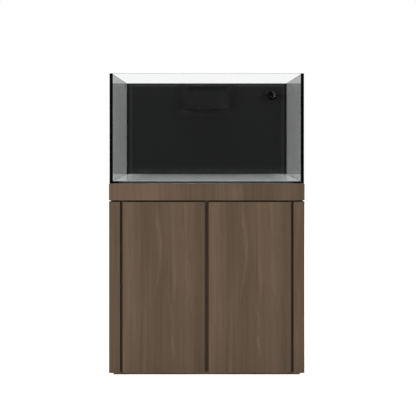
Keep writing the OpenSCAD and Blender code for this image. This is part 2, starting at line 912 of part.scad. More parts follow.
module filter_sock() {
    top = shelf_top + shelf_t;
    color([0.93, 0.93, 0.9]) difference() {
        union() {
            rod_z(-drain_x, drop_y, top, top + sock_ring_t, sock_ring_r);
            rod_z(-drain_x, drop_y, top - sock_l, top, sock_r);
        }
        rod_z(-drain_x, drop_y, top - sock_l + sock_wall, top + sock_ring_t + cut, sock_r - sock_wall);
    }
}

module pump_motor() {
    y1 = drop_y - volute_half;
    y0 = y1 - motor_len;
    color([0.1, 0.1, 0.11]) difference() {
        union() {
            rod_y(pump_x, pump_z, y0, y1, motor_r);
            for (y = [y0 + rib_end : rib_pitch : y1 - rib_end - rib_t])
                rod_y(pump_x, pump_z, y, y + rib_t, motor_r + rib_h);
            rod_y(pump_x, pump_z, y0 - cable_l, y0, cable_r);
            slab([pump_x - foot_w / 2, y0 + foot_end, sump_floor_z],
                [pump_x + foot_w / 2, y1 - foot_end, pump_z - motor_r + foot_h]);
        }
        rod_y(pump_x, pump_z, y0 + shaft_short - cut, y1 + cut, shaft_r + run);
        rod_y(pump_x, pump_z, y0 - cable_l - cut, y0 - cable_l / 3, cable_bore);
    }
}

module pump_volute() {
    y0 = drop_y - volute_half;
    y1 = drop_y + volute_half;
    color([0.16, 0.16, 0.17]) difference() {
        union() {
            rod_y(pump_x, pump_z, y0, y1, volute_r);
            slab([nozzle_x - tube_r, y0, pump_z], [nozzle_x + tube_r, y1, pump_z + volute_r]);
            rod_z(nozzle_x, drop_y, pump_z + volute_r, pump_top, tube_r);
        }
        rod_y(pump_x, pump_z, y0 - cut, drop_y + chamber_half, chamber_r);
        rod_y(pump_x, pump_z, drop_y, y1 + cut, inlet_r);
        rod_z(nozzle_x, drop_y, pump_z, pump_top, outlet_r);
        rod_z(nozzle_x, drop_y, pump_top - socket_l, pump_top + cut, pipe_r + run);
    }
}

module pump_impeller() {
    y = disc_y + disc_t;
    color([0.85, 0.85, 0.82]) {
        rod_y(pump_x, pump_z, drop_y - volute_half - motor_len + shaft_short, y, shaft_r);
        rod_y(pump_x, pump_z, disc_y, y, impeller_r);
        rod_y(pump_x, pump_z, y, y + vane_h + 1, impeller_hub);
        for (a = [0 : 60 : 300])
            translate([pump_x, y, pump_z]) rotate([0, a, 0])
                translate([0, 0, -vane_t / 2]) cube([impeller_r - 1, vane_h, vane_t]);
    }
}

module pump_strainer() {
    y0 = drop_y + volute_half;
    color([0.1, 0.1, 0.11]) difference() {
        rod_y(pump_x, pump_z, y0, y0 + strainer_l, strainer_r);
        rod_y(pump_x, pump_z, y0 - cut, y0 + strainer_l - strainer_wall, strainer_r - strainer_wall);
        for (a = [0 : 30 : 150])
            translate([pump_x, y0 + grille_end, pump_z]) rotate([0, a, 0])
                translate([-strainer_r - cut, 0, -grille_w / 2])
                    cube([2 * strainer_r + 2 * cut, grille_l, grille_w]);
    }
}

// ---- Cabinet ----

module plinth_board() {
    color([0.2, 0.16, 0.13]) difference() {
        slab([-hx + plinth_inset, front_y + plinth_inset, 0],
            [hx - plinth_inset, back_y - plinth_inset, plinth_h]);
        both_sides()
            slab([pivot_x - plate_half, front_y, plinth_h - pivot_plate],
                [pivot_x + plate_half, front_y + plinth_inset + plate_back, plinth_h + cut]);
    }
}

module base_board() {
    color([0.36, 0.29, 0.24]) slab([-panel_x, frame_y, plinth_h], [panel_x, back_y, floor_in]);
}

module side_panel() {
    slab([panel_x, frame_y, plinth_h], [hx, back_y, body_z]);
}

module right_side_panel() {
    color([0.4, 0.33, 0.27]) side_panel();
}

module left_side_panel() {
    color([0.4, 0.33, 0.27]) mirror([1, 0, 0]) side_panel();
}

module corner_posts() {
    color([0.4, 0.33, 0.27]) both_sides()
        slab([hx - post_w, front_y, plinth_h], [hx, frame_y, body_z]);
}

// Uprights behind the gaps and rails over the openings
module face_frame() {
    color([0.3, 0.24, 0.2]) difference() {
        union() {
            both_sides() {
                slab([door_x - frame_lap, frame_y, floor_in], [panel_x, frame_back, body_z]);
                slab([stile_w / 2 + glue, frame_y, body_z - rail_h],
                    [door_x - frame_lap - glue, frame_back, body_z]);
            }
            slab([-stile_w / 2, frame_y, floor_in], [stile_w / 2, frame_back, body_z]);
        }
        both_sides() for (z = magnet_zs)
            rod_y(magnet_x, z, frame_y - cut, frame_y + magnet_len - door_back + strike_t, magnet_r);
    }
}

module rear_panel() {
    color([0.36, 0.29, 0.24]) difference() {
        slab([-panel_x, panel_y, floor_in], [panel_x, back_y, body_z]);
        both_sides() rod_y(port_x, port_z, panel_y - cut, back_y + cut, port_r);
    }
}

// The openings that the pipes pass through, from z0 to z1 and back to y1
module pipe_passes(z0, z1, y1) {
    slab([-drain_x - pipe_r - pass, pass_f, z0], [drain_x + pipe_r + pass, y1, z1]);
    slab([nozzle_x - pipe_r - pass, pass_f, z0], [nozzle_x + pipe_r + pass, y1, z1]);
}

module shadow_board() {
    color([0.2, 0.16, 0.13]) difference() {
        slab([-hx + shadow_inset, frame_y, body_z], [hx - shadow_inset, back_y - shadow_inset, band_z]);
        pipe_passes(body_z - cut, band_z + cut, panel_y);
    }
}

// Rails that carry the deck board
module load_frame() {
    z0 = band_z;
    z1 = deck_z - board_t;
    y0 = front_y + board_t;
    rear = tank_b - board_t / 2;
    color([0.5, 0.4, 0.3]) {
        slab([-panel_x, y0, z0], [panel_x, y0 + board_t, z1]);
        slab([-panel_x + board_t + glue, rear, z0], [panel_x - board_t - glue, rear + board_t, z1]);
        both_sides() slab([panel_x - board_t, y0 + board_t + glue, z0], [panel_x, panel_y, z1]);
        slab([-board_t / 2, y0 + board_t + glue, z0], [board_t / 2, rear - glue, z1]);
    }
}

module deck_board() {
    color([0.4, 0.33, 0.27]) difference() {
        slab([-panel_x, front_y + board_t, deck_z - board_t], [panel_x, panel_y, deck_z]);
        pipe_passes(deck_z - board_t - cut, deck_z + cut, panel_y + cut);
    }
}

module front_fascia() {
    color([0.4, 0.33, 0.27]) difference() {
        slab([-hx, front_y, band_z], [hx, front_y + board_t, deck_z]);
        both_sides() rod_z(pivot_x, pivot_y, band_z - cut, band_z + pivot_deep, pivot_r + run);
    }
}

module side_fascias() {
    color([0.4, 0.33, 0.27]) {
        both_sides() slab([panel_x, front_y + board_t, band_z], [hx, panel_y - glue, deck_z]);
        slab([-hx, panel_y, band_z], [hx, back_y, deck_z]);
    }
}

module door() {
    color([0.4, 0.33, 0.27]) difference() {
        slab([centre_gap / 2, front_y, door_z0], [door_x, front_y + door_t, door_z1]);
        rod_z(pivot_x, pivot_y, door_z0 - cut, door_z0 + pivot_deep, pivot_r + run);
        rod_z(pivot_x, pivot_y, door_z1 - pivot_deep, door_z1 + cut, pivot_r + run);
    }
}

module right_door() {
    door();
}

module left_door() {
    mirror([1, 0, 0]) door();
}

// Upper pins in the fascia, and lower plates with a pin, let into the plinth
module door_pivots() {
    color([0.6, 0.6, 0.62]) both_sides() {
        rod_z(pivot_x, pivot_y, door_z1 - pivot_deep + cut, band_z + pivot_deep, pivot_r);
        slab([pivot_x - plate_half, front_y + plate_front, plinth_h - pivot_plate],
            [pivot_x + plate_half, front_y + plinth_inset + plate_back, plinth_h]);
        rod_z(pivot_x, pivot_y, plinth_h, door_z0 + pivot_deep - cut, pivot_r);
    }
}

module door_magnets() {
    back = front_y + door_t;
    color([0.7, 0.7, 0.72]) both_sides() for (z = magnet_zs)
        rod_y(magnet_x, z, back + strike_t, back + strike_t + magnet_len, magnet_r);
}

module strikes() {
    back = front_y + door_t;
    color([0.7, 0.7, 0.72]) for (z = magnet_zs)
        rod_y(magnet_x, z, back, back + strike_t, strike_r);
}

module right_strikes() {
    strikes();
}

module left_strikes() {
    mirror([1, 0, 0]) strikes();
}

front_glass();
left_glass();
right_glass();
back_glass();
bottom_glass();
silicone_seams();
black_background();
levelling_mat();
weir_box();
weir_comb();
weir_bulkheads();
overflow_box();
overflow_lid();
drain_bulkheads();
bulkhead_nuts();
bulkhead_gaskets();
stand_pipes();
drain_pipe_upper();
drain_pipe_lower();
emergency_pipe();
pipe_clips();
gate_valve_body();
gate_valve_gate();
gate_valve_wheel();
return_riser();
return_tail();
return_bulkhead();
nozzle_collar();
nozzle_eyeball();
ball_valve_body();
ball_valve_ball();
ball_valve_lever();
union_nuts();
sump_floor();
sump_walls();
sump_baffles();
sock_shelf();
filter_sock();
pump_motor();
pump_volute();
pump_impeller();
pump_strainer();
plinth_board();
base_board();
left_side_panel();
right_side_panel();
corner_posts();
face_frame();
rear_panel();
shadow_board();
load_frame();
deck_board();
front_fascia();
side_fascias();
left_door();
right_door();
door_pivots();
door_magnets();
left_strikes();
right_strikes();
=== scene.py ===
import functools
import json
import math

import bmesh
import bpy
import numpy as np
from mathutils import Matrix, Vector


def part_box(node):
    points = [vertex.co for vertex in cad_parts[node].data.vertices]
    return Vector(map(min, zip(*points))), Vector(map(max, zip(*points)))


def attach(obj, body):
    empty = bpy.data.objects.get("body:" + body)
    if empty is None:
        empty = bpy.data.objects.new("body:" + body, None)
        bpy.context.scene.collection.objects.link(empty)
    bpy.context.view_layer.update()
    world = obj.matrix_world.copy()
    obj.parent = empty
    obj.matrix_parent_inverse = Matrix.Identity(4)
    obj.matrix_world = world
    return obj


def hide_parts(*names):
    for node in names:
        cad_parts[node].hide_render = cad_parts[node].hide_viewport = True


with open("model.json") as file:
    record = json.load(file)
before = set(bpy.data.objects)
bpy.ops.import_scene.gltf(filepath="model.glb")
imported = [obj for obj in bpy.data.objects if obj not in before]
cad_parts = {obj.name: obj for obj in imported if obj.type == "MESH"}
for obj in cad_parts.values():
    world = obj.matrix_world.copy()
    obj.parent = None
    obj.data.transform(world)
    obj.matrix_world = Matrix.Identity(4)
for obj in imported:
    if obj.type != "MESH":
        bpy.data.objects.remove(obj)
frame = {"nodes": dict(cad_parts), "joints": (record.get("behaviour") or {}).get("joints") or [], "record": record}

scene = bpy.context.scene
nodes = frame["nodes"]
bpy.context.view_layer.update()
mm = 0.001  # in metres
slotOf = {entry["node"]: entry["material_slot"] for entry in frame["record"]["subparts"]}
bodyOf = {name: body for body, names in frame["record"]["behaviour"]["bodies"].items() for name in names}
pivotOf = {joint["name"]: joint.get("pos_m") for joint in frame["joints"]}
print("frame loaded:", len(nodes), "nodes")

# stage, lights and camera
studio = {
    "floorHalf": 6.0, "floorGlow": 0.55, "floorLight": 0.3,
    # greys of the surroundings, from behind the camera, 0, to ahead of it, 1
    "greys": [(0.0, 0.028), (0.04, 0.028), (0.2, 0.5), (0.5, 0.55), (0.985, 0.55), (1.0, 0.34)],
    "panesSeenThrough": 2.5,  # the white backdrop shows through up to two glass faces
    # lamps: place, aim, width and height in metres, watts
    "lamps": {
        "keyLeft": ((-2.6, -2.6, 1.8), (0, 0, 0.7), (1.6, 2.0), 47.0),
        "keyRight": ((2.6, -2.6, 1.8), (0, 0, 0.7), (1.6, 2.0), 47.0),
        "topLamp": ((0, -0.2, 3.6), (0, 0, 1.2), (2.2, 1.6), 34.0),
        "rearLamp": ((0, 3.4, 2.6), (0, 0, 0.9), (2.2, 1.6), 30.0),
    },
    # a level camera at eye height, with its picture shifted to frame the whole stand
    "lens": 47.02, "shift": (0.003, -0.1756), "eyeAt": (0.0, -2.8, 1.11),
}


def linear(hexColour):
    # sRGB to linear: c / 12.92 below 0.04045, else ((c + 0.055) / 1.055) to the power 2.4
    srgb = [int(hexColour[i:i + 2], 16) / 255 for i in (1, 3, 5)]
    return [c / 12.92 if c <= 0.04045 else ((c + 0.055) / 1.055) ** 2.4 for c in srgb] + [1.0]


def waves(length):
    # a texture's scale for a pattern that repeats every so many mm
    return 1000 / length


def addNode(tree, kind, inputs=None, operation=None, out=0, stops=None, **settings):
    # one node, whose inputs are values or other nodes' outputs; it gives one output, or all of them.
    # A MapRange takes input 1 to 3 and 2 to 4, and a Mix goes from 6 to 7 by the share 0
    made = tree.nodes.new("ShaderNode" + kind)
    if operation:
        made.operation = operation
    for key, value in settings.items():
        setattr(made, key, value)
    for key, value in (inputs or {}).items():
        if isinstance(value, bpy.types.NodeSocket):
            tree.links.new(value, made.inputs[key])
        else:
            made.inputs[key].default_value = value
    if stops:
        elements = made.color_ramp.elements
        while len(elements) < len(stops):
            elements.new(0.5)
        for element, (place, tone) in zip(elements, stops):
            element.position = place
            element.color = (*tone, 1) if isinstance(tone, tuple) else (tone, tone, tone, 1)
    return made.outputs if out is None or not made.outputs else made.outputs[out]


ofColours = {"out": 2, "data_type": "RGBA"}  # a Mix node of colours


def newMaterial(name):
    # a material, what adds a node to it, and its coordinates, in metres in the shared frame
    made = bpy.data.materials.new(name)
    made.use_nodes = True
    made.node_tree.nodes.clear()
    add = functools.partial(addNode, made.node_tree)
    return made, add, add("TexCoord", out=3)


def setWorld():
    # white to the camera, and a soft grey studio, dark behind the camera, to everything else
    world = bpy.data.worlds.new("studioWorld")
    scene.world = world
    world.use_nodes = True
    world.node_tree.nodes.clear()
    add = functools.partial(addNode, world.node_tree)
    way = add("SeparateXYZ", {0: add("TexCoord")}, out=None)
    ahead = add("MapRange", {0: way["Y"], 1: -1.0, 2: 1.0})
    grey = add("ValToRGB", {0: ahead}, stops=studio["greys"])
    path = add("LightPath", out=None)
    shallow = add("Math", {0: path["Transmission Depth"], 1: studio["panesSeenThrough"]}, "LESS_THAN")
    through = add("Math", {0: path["Is Transmission Ray"], 1: shallow}, "MULTIPLY")
    behind = add("Math", {0: way["Y"], 1: 0.0}, "GREATER_THAN")
    through = add("Math", {0: through, 1: behind}, "MULTIPLY")
    seen = add("Math", {0: path["Is Camera Ray"], 1: through}, "MAXIMUM")
    colour = add("Mix", {0: seen, 6: grey, 7: (1, 1, 1, 1)}, **ofColours)
    add("OutputWorld", {0: add("Background", {"Color": colour, "Strength": 1.0})})


def setFloor():
    # a plain pale floor that keeps the object's shadow
    half = studio["floorHalf"]
    mesh = bpy.data.meshes.new("studioFloor")
    corners = [(-half, -half, 0), (half, -half, 0), (half, half, 0), (-half, half, 0)]
    mesh.from_pydata(corners, [], [(0, 1, 2, 3)])
    floor = bpy.data.objects.new("studioFloor", mesh)
    scene.collection.objects.link(floor)
    made, add, _ = newMaterial("paleStudioFloor")
    seen = add("LightPath", out=None)["Is Camera Ray"]
    glow = add("Math", {0: seen, 1: studio["floorGlow"], 2: studio["floorLight"]}, "MULTIPLY_ADD")
    both = add("AddShader", {0: add("BsdfDiffuse", {"Color": (0.8, 0.8, 0.8, 1)}),
                             1: add("Emission", {"Strength": glow})})
    add("OutputMaterial", {0: both})
    mesh.materials.append(made)


def addLamp(name, place, aim, size, power):
    lamp = bpy.data.lights.new(name, "AREA")
    lamp.shape = "RECTANGLE"
    lamp.size, lamp.size_y = size
    lamp.energy = power
    holder = bpy.data.objects.new(name, lamp)
    holder.location = place
    x, y, z = np.array(place) - np.array(aim)
    holder.rotation_euler = (math.atan2(math.hypot(x, y), z), 0, math.atan2(x, -y))
    scene.collection.objects.link(holder)


def setCamera():
    view = bpy.data.cameras.new("frontView")
    view.lens = studio["lens"]
    view.shift_x, view.shift_y = studio["shift"]
    eye = bpy.data.objects.new("frontView", view)
    eye.location = studio["eyeAt"]
    eye.rotation_euler = (math.pi / 2, 0, 0)
    scene.collection.objects.link(eye)
    scene.camera = eye


setWorld()
setFloor()
for name, settings in studio["lamps"].items():
    addLamp(name, *settings)
setCamera()
scene.view_settings.view_transform = "Standard"
print("stage set")

# walnut laminate on board
walnut = {
    "dark": "#4f4031", "mid": "#5f4e3d", "pale": "#705c49",
    "pore": "#43362b", "glue": "#3a2e25", "warm": "#7a5c4c",
    "roughness": 0.6, "roughnessSpread": 0.06, "specular": 0.2,
    "bump": 0.05, "bumpStrength": 0.35,  # mm, and a share
    "sway": 0.03, "ragged": 0.02,  # how far the figure wanders sideways, as shares of the board's width
    "ends": 0.2, "endsFrom": -0.16, "endsFull": -0.06,  # how ragged and how soft the upper figure's end is
    "streakCore": 0.5, "streakEdge": 1.25,  # where a streak starts to fade and ends, in its half widths
    "poreFrom": 0.62, "poreFull": 0.76, "poreDepth": 0.6, "poreInk": 0.4,
    "band": 1.1, "glueLine": 0.15, "glueShare": 0.5,  # mm in from the long edges, its half width and strength
    "warmFull": 0.2, "warmTo": 0.5,  # across the board from its left edge
    # noise layers: mm across and along the grain, detail, distortion; the pores are drawn 0.7 mm wide,
    # about three times the real ones, so that they show
    "layers": {"sway": (455, 625, 1.0, 0.0), "cloud": (111, 556, 2.0, 0.4), "streak": (13.5, 417, 4.0, 0.5),
               "fibre": (2.38, 143, 3.0, 0.3), "pore": (0.667, 16.7, 1.0, 0.0)},
    "shares": {"cloud": 0.3, "streak": 0.55, "fibre": 0.3},  # how much each layer changes the tone
}
# tones from the left edge of a board to its right edge: 0 dark, 1 pale
doorTop = [(0, 0.46), (0.03, 0.58), (0.07, 0.76), (0.11, 0.58), (0.17, 0.46), (0.2, 0.38), (0.225, 0.2),
           (0.28, 0.22), (0.33, 0.36), (0.37, 0.42), (0.47, 0.4), (0.58, 0.44), (0.605, 0.66), (0.68, 0.54),
           (0.73, 0.62), (0.8, 0.6), (0.855, 0.56), (0.88, 0.42), (0.93, 0.3), (0.98, 0.18), (1, 0.22)]
doorFoot = [(0, 0.58), (0.03, 0.74), (0.08, 0.54), (0.14, 0.46), (0.19, 0.52), (0.21, 0.36), (0.245, 0.42),
            (0.28, 0.42), (0.33, 0.34), (0.385, 0.4), (0.4, 0.26), (0.48, 0.3), (0.55, 0.34), (0.6, 0.32),
            (0.685, 0.36), (0.695, 0.5), (0.8, 0.48), (0.855, 0.42), (0.875, 0.28), (0.93, 0.28), (1, 0.28)]
# how far down the board the upper figure reaches, from its left edge to its right edge
doorReach = [(0, 0.75), (0.2, 0.6), (0.38, 0.55), (0.47, 0.42), (0.56, 0.36), (0.593, 0.3), (0.61, 0.46),
             (0.63, 0.55), (0.655, 0.5), (0.69, 0.46), (0.7, 0.5), (0.8, 0.6), (0.85, 0.63), (0.87, 0.56),
             (1, 0.5)]
# streaks: (distance down, place across, half width) at a few points, and how much paler they are
doorStreaks = [
    ([(0, 0.415, 0.004), (0.07, 0.42, 0.012), (0.12, 0.425, 0.034), (0.17, 0.445, 0.02),
      (0.25, 0.458, 0.02), (0.33, 0.457, 0.015), (0.42, 0.43, 0.009), (0.5, 0.405, 0.008),
      (0.57, 0.388, 0.004)], 0.3),
    ([(0.2, 0.165, 0.004), (0.24, 0.185, 0.03), (0.29, 0.215, 0.006)], 0.08),
    ([(0.78, 0.61, 0.004), (0.81, 0.612, 0.016), (0.87, 0.628, 0.014), (0.94, 0.635, 0.003)], 0.26),
    ([(0.6, 0.585, 0.003), (0.65, 0.6, 0.012), (0.73, 0.635, 0.003)], 0.2),
    ([(0.03, 0.725, 0.003), (0.1, 0.73, 0.015), (0.18, 0.725, 0.003)], -0.3),
    ([(0, 0.65, 0.01), (0.1, 0.655, 0.012), (0.2, 0.66, 0.004)], -0.12),
    ([(0.3, 0.77, 0.01), (0.38, 0.79, 0.045), (0.47, 0.8, 0.04), (0.55, 0.82, 0.008)], 0.14),
    ([(0.62, 0.25, 0.003), (0.75, 0.238, 0.013), (1, 0.225, 0.012)], -0.26),
    ([(0.66, 0.28, 0.003), (0.8, 0.287, 0.012), (1, 0.275, 0.012)], 0.18),
    ([(0.55, 0.9, 0.006), (0.7, 0.925, 0.04), (1, 0.94, 0.04)], -0.14),
    ([(0.4, 0.425, 0.003), (0.465, 0.436, 0.012), (0.51, 0.43, 0.003)], 0.2),
    ([(0.56, 0.86, 0.003), (0.6, 0.83, 0.016), (0.66, 0.85, 0.003)], 0.16),
]
fasciaTop = [(0, 0.5), (0.03, 0.8), (0.1, 0.72), (0.16, 0.86), (0.2, 0.98), (0.255, 0.9), (0.26, 0.6),
             (0.31, 0.66), (0.4, 0.56), (0.48, 0.5), (0.53, 0.56), (0.57, 0.86), (0.6, 0.66), (0.65, 0.84),
             (0.68, 0.72), (0.7, 0.42), (0.78, 0.34), (0.82, 0.42), (0.9, 0.72), (0.95, 0.5), (0.975, 0.32),
             (1, 0.45)]
postTop = [(0, 0.42), (0.02, 0.5), (0.05, 0.38), (0.94, 0.4), (0.98, 0.46), (1, 0.4)]
panelTop = [(0, 0.5), (0.12, 0.7), (0.2, 0.45), (0.33, 0.3), (0.42, 0.55), (0.55, 0.75), (0.63, 0.5),
            (0.72, 0.3), (0.8, 0.42), (0.9, 0.65), (1, 0.4)]


def walnutLaminate(name, low, high, top, foot=None, reach=None, streaks=(), across="X", along="Z",
                   warm=0.0, brightness=1.0, figure=1.0):
    # walnut decor pressed under a matt melamine skin: open pores, a dry sheen and a banded edge
    made, add, place = newMaterial(name)
    split = add("SeparateXYZ", {0: place}, out=None)
    through = ({"X", "Y", "Z"} - {across, along}).pop()
    width, length = high[0] - low[0], high[1] - low[1]
    turned = add("CombineXYZ", {"X": split[across], "Y": split[through],
                                "Z": split[along]})
    board = add("Mapping", {0: turned, "Location": (-low[0], 0, -low[1])})
    layer = {}
    for key, (broad, long, detail, twist) in walnut["layers"].items():
        scaled = add("Mapping", {0: board, "Scale": (waves(broad), waves(broad), waves(long))})
        layer[key] = add("TexNoise", {"Vector": scaled, "Scale": 1.0, "Detail": detail,
                                      "Distortion": twist})
    place = add("SeparateXYZ", {0: board}, out=None)
    # u goes across the board from 0 to 1, swaying a little along it; v goes down the board from 0 to 1
    sway, ragged = walnut["sway"], walnut["ragged"]
    swayed = add("Math", {0: layer["sway"], 1: sway, 2: -sway / 2}, "MULTIPLY_ADD")
    swayed = add("Math", {0: layer["streak"], 1: ragged, 2: swayed}, "MULTIPLY_ADD")
    u = add("Math", {0: place["X"], 1: 1 / width, 2: swayed}, "MULTIPLY_ADD")
    u = add("Math", {0: u, 1: ragged / 2}, "SUBTRACT")
    v = add("Math", {0: place["Z"], 1: -1 / length, 2: 1.0}, "MULTIPLY_ADD")
    tone = add("ValToRGB", {0: u}, stops=top)
    if foot:
        # the upper figure gives way to the lower one where v passes the reach, along a ragged edge
        ends = add("ValToRGB", {0: u}, stops=reach)
        ends = add("Math", {0: layer["streak"], 1: walnut["ends"], 2: ends}, "MULTIPLY_ADD")
        past = add("Math", {0: v, 1: ends}, "SUBTRACT")
        share = add("MapRange", {0: past, 1: walnut["endsFrom"], 2: walnut["endsFull"]})
        lower = add("ValToRGB", {0: u}, stops=foot)
        tone = add("Mix", {0: share, 6: tone, 7: lower}, **ofColours)
    for points, gain in streaks:
        # red holds the place across, green the half width; the tone falls from the middle to the sides
        stops = [(down, (side, half, 0.0)) for down, side, half in points]
        (start, startSide, _), (end, endSide, endHalf) = points[0], points[-1]
        stops.insert(0, (start - 0.001, (startSide, 0.0, 0.0)))
        stops.append((min(1.0, end + 0.001), (endSide, 0.0 if end < 1 else endHalf, 0.0)))
        parts = add("SeparateColor", {0: add("ValToRGB", {0: v}, stops=stops)}, out=None)
        off = add("Math", {0: u, 1: parts[0]}, "SUBTRACT")
        off = add("Math", {0: off}, "ABSOLUTE")
        far = add("Math", {0: off, 1: parts[1]}, "DIVIDE")
        near = add("MapRange", {0: far, 1: walnut["streakCore"], 2: walnut["streakEdge"], 3: gain, 4: 0.0})
        inside = add("Math", {0: parts[1], 1: 0.0001}, "GREATER_THAN")
        tone = add("Math", {0: near, 1: inside, 2: tone}, "MULTIPLY_ADD")
    # tone = figure + shares of the noise layers about their mean
    for key, share in walnut["shares"].items():
        centred = add("Math", {0: layer[key], 1: 0.5}, "SUBTRACT")
        tone = add("Math", {0: centred, 1: share * figure, 2: tone}, "MULTIPLY_ADD")
    shades = [tuple(c * brightness for c in linear(walnut[key])[:3]) for key in ("dark", "mid", "pale")]
    colour = add("ValToRGB", {0: tone}, stops=list(zip((0.0, 0.5, 1.0), shades)))
    if warm:
        # redder towards the left of the board
        left = add("MapRange", {0: u, 1: walnut["warmFull"], 2: walnut["warmTo"], 3: warm, 4: 0.0})
        colour = add("Mix", {0: left, 6: colour, 7: linear(walnut["warm"])}, **ofColours)
    pore = add("MapRange", {0: layer["pore"], 1: walnut["poreFrom"], 2: walnut["poreFull"],
                            4: walnut["poreInk"]})
    inked = add("Mix", {0: pore, 6: colour, 7: linear(walnut["pore"])}, **ofColours)
    # the glue line of the edge band, just in from the long edges
    side = add("Math", {0: place["X"], 1: width / 2}, "SUBTRACT")
    side = add("Math", {0: side}, "ABSOLUTE")
    line = add("Math", {0: side, 1: width / 2 - walnut["band"] * mm, 2: walnut["glueLine"] * mm}, "COMPARE")
    line = add("Math", {0: line, 1: walnut["glueShare"]}, "MULTIPLY")
    banded = add("Mix", {0: line, 6: inked, 7: linear(walnut["glue"])}, **ofColours)
    relief = add("Math", {0: pore, 1: -walnut["poreDepth"], 2: layer["fibre"]}, "MULTIPLY_ADD")
    bump = add("Bump", {"Height": relief, "Strength": walnut["bumpStrength"],
                        "Distance": walnut["bump"] * mm})
    dry, spread = walnut["roughness"], walnut["roughnessSpread"]
    sheen = add("MapRange", {0: layer["streak"], 1: 0.3, 2: 0.7, 3: dry - spread, 4: dry + spread})
    skin = add("BsdfPrincipled", {"Base Color": banded, "Roughness": sheen, "Normal": bump, "IOR": 1.5,
                                  "Specular IOR Level": walnut["specular"]})
    add("OutputMaterial", {0: skin})
    return made


# glass, plastics and metals
floatLine = {"haze": 143, "ior": 1.52, "density": 1.2, "shadow": (0.95, 0.96, 0.955, 1)}  # haze in mm


def floatGlass(name, tint, edge):
    # float glass, drawn flat and polished: clear on its faces, green along its depth; shadows pass through it
    made, add, place = newMaterial(name)
    haze = add("TexNoise", {"Vector": place, "Scale": waves(floatLine["haze"]), "Detail": 3.0})
    tone = add("Mix", {0: haze, 6: linear(tint), 7: (1, 1, 1, 1)}, **ofColours)
    skin = add("BsdfPrincipled", {"Base Color": tone, "Roughness": 0.0, "IOR": floatLine["ior"],
                                  "Transmission Weight": 1.0})
    clear = add("BsdfTransparent", {"Color": floatLine["shadow"]})
    isShadow = add("LightPath", out=None)["Is Shadow Ray"]
    depth = add("VolumeAbsorption", {"Color": linear(edge), "Density": floatLine["density"]})
    add("OutputMaterial", {0: add("MixShader", {0: isShadow, 1: skin, 2: clear}), 1: depth})
    return made


moulding = {
    "patches": 55.6, "scuffs": 11.1,  # mm
    "scuffFrom": 0.58, "scuffFull": 0.75, "scuffPaler": 0.3,
    "bumpStrength": 0.4, "sheenSpread": 0.12,
    "zoneBlur": 0.5, "hollowFrom": 1.6, "hollowTo": 0.9,  # mm
}


def moulded(name, colour, roughness, grain=1.2, depth=0.03, mottle=0.06, metallic=0.0, specular=0.5,
            stretch=(1, 1, 1), wear=0.0, zone=None, hollow=None):
    # a moulded, drawn or rolled surface: a grain and its depth in mm, a slow change of tone, light rubbing;
    # real moulding grain is near 0.1 mm and is drawn ten times as coarse, so that it shows
    made, add, place = newMaterial(name)
    drawn = add("Mapping", {0: place, "Scale": stretch})
    fine = add("TexNoise", {"Vector": drawn, "Scale": waves(grain), "Detail": 2.0})
    slow = add("TexNoise", {"Vector": place, "Scale": waves(moulding["patches"]), "Detail": 3.0})
    base = linear(colour)
    darker = [c * (1 - mottle) for c in base[:3]] + [1]
    lighter = [c * (1 + mottle) for c in base[:3]] + [1]
    tone = add("Mix", {0: slow, 6: darker, 7: lighter}, **ofColours)
    if wear:
        rubbed = add("TexNoise", {"Vector": place, "Scale": waves(moulding["scuffs"]), "Detail": 5.0})
        spots = add("MapRange", {0: rubbed, 1: moulding["scuffFrom"], 2: moulding["scuffFull"], 4: wear})
        pale = [c + (1 - c) * moulding["scuffPaler"] for c in base[:3]] + [1]
        tone = add("Mix", {0: spots, 6: tone, 7: pale}, **ofColours)
    if zone:
        # another tone past a place along one axis
        axis, past, other = zone
        blur = moulding["zoneBlur"] * mm
        along = add("SeparateXYZ", {0: place}, out=None)[axis]
        share = add("MapRange", {0: along, 1: past - blur, 2: past + blur})
        tone = add("Mix", {0: share, 6: tone, 7: linear(other)}, **ofColours)
    bump = add("Bump", {"Height": fine, "Strength": moulding["bumpStrength"], "Distance": depth * mm})
    spread = moulding["sheenSpread"]
    sheen = add("MapRange", {0: slow, 1: 0.3, 2: 0.7, 3: roughness * (1 - spread),
                             4: min(1, roughness * (1 + spread))})
    if hollow:
        # matt within a distance of a centre
        centre, reach = hollow
        far = add("VectorMath", {0: place, 1: centre}, "DISTANCE", out=1)
        matt, glossy = (reach - moulding[key] * mm for key in ("hollowFrom", "hollowTo"))
        sheen = add("MapRange", {0: far, 1: matt, 2: glossy, 3: 1.0, 4: roughness})
    skin = add("BsdfPrincipled", {"Base Color": tone, "Roughness": sheen, "Normal": bump,
                                  "Metallic": metallic, "Specular IOR Level": specular})
    add("OutputMaterial", {0: skin})
    return made


silicone = {
    "black": "#020202", "midGrey": "#5c5e61", "roughness": 0.45, "specular": 0.08,
    "midGreyFrom": 22, "midGreyFull": 62, "midGreyLeast": 0.8, "midGreyMost": 1.1,  # mm in from the sides, and shares
    "blots": 33.3, "marks": 2, "markStretch": 0.06, "markDepth": 0.08,  # mm, but for the stretch
}


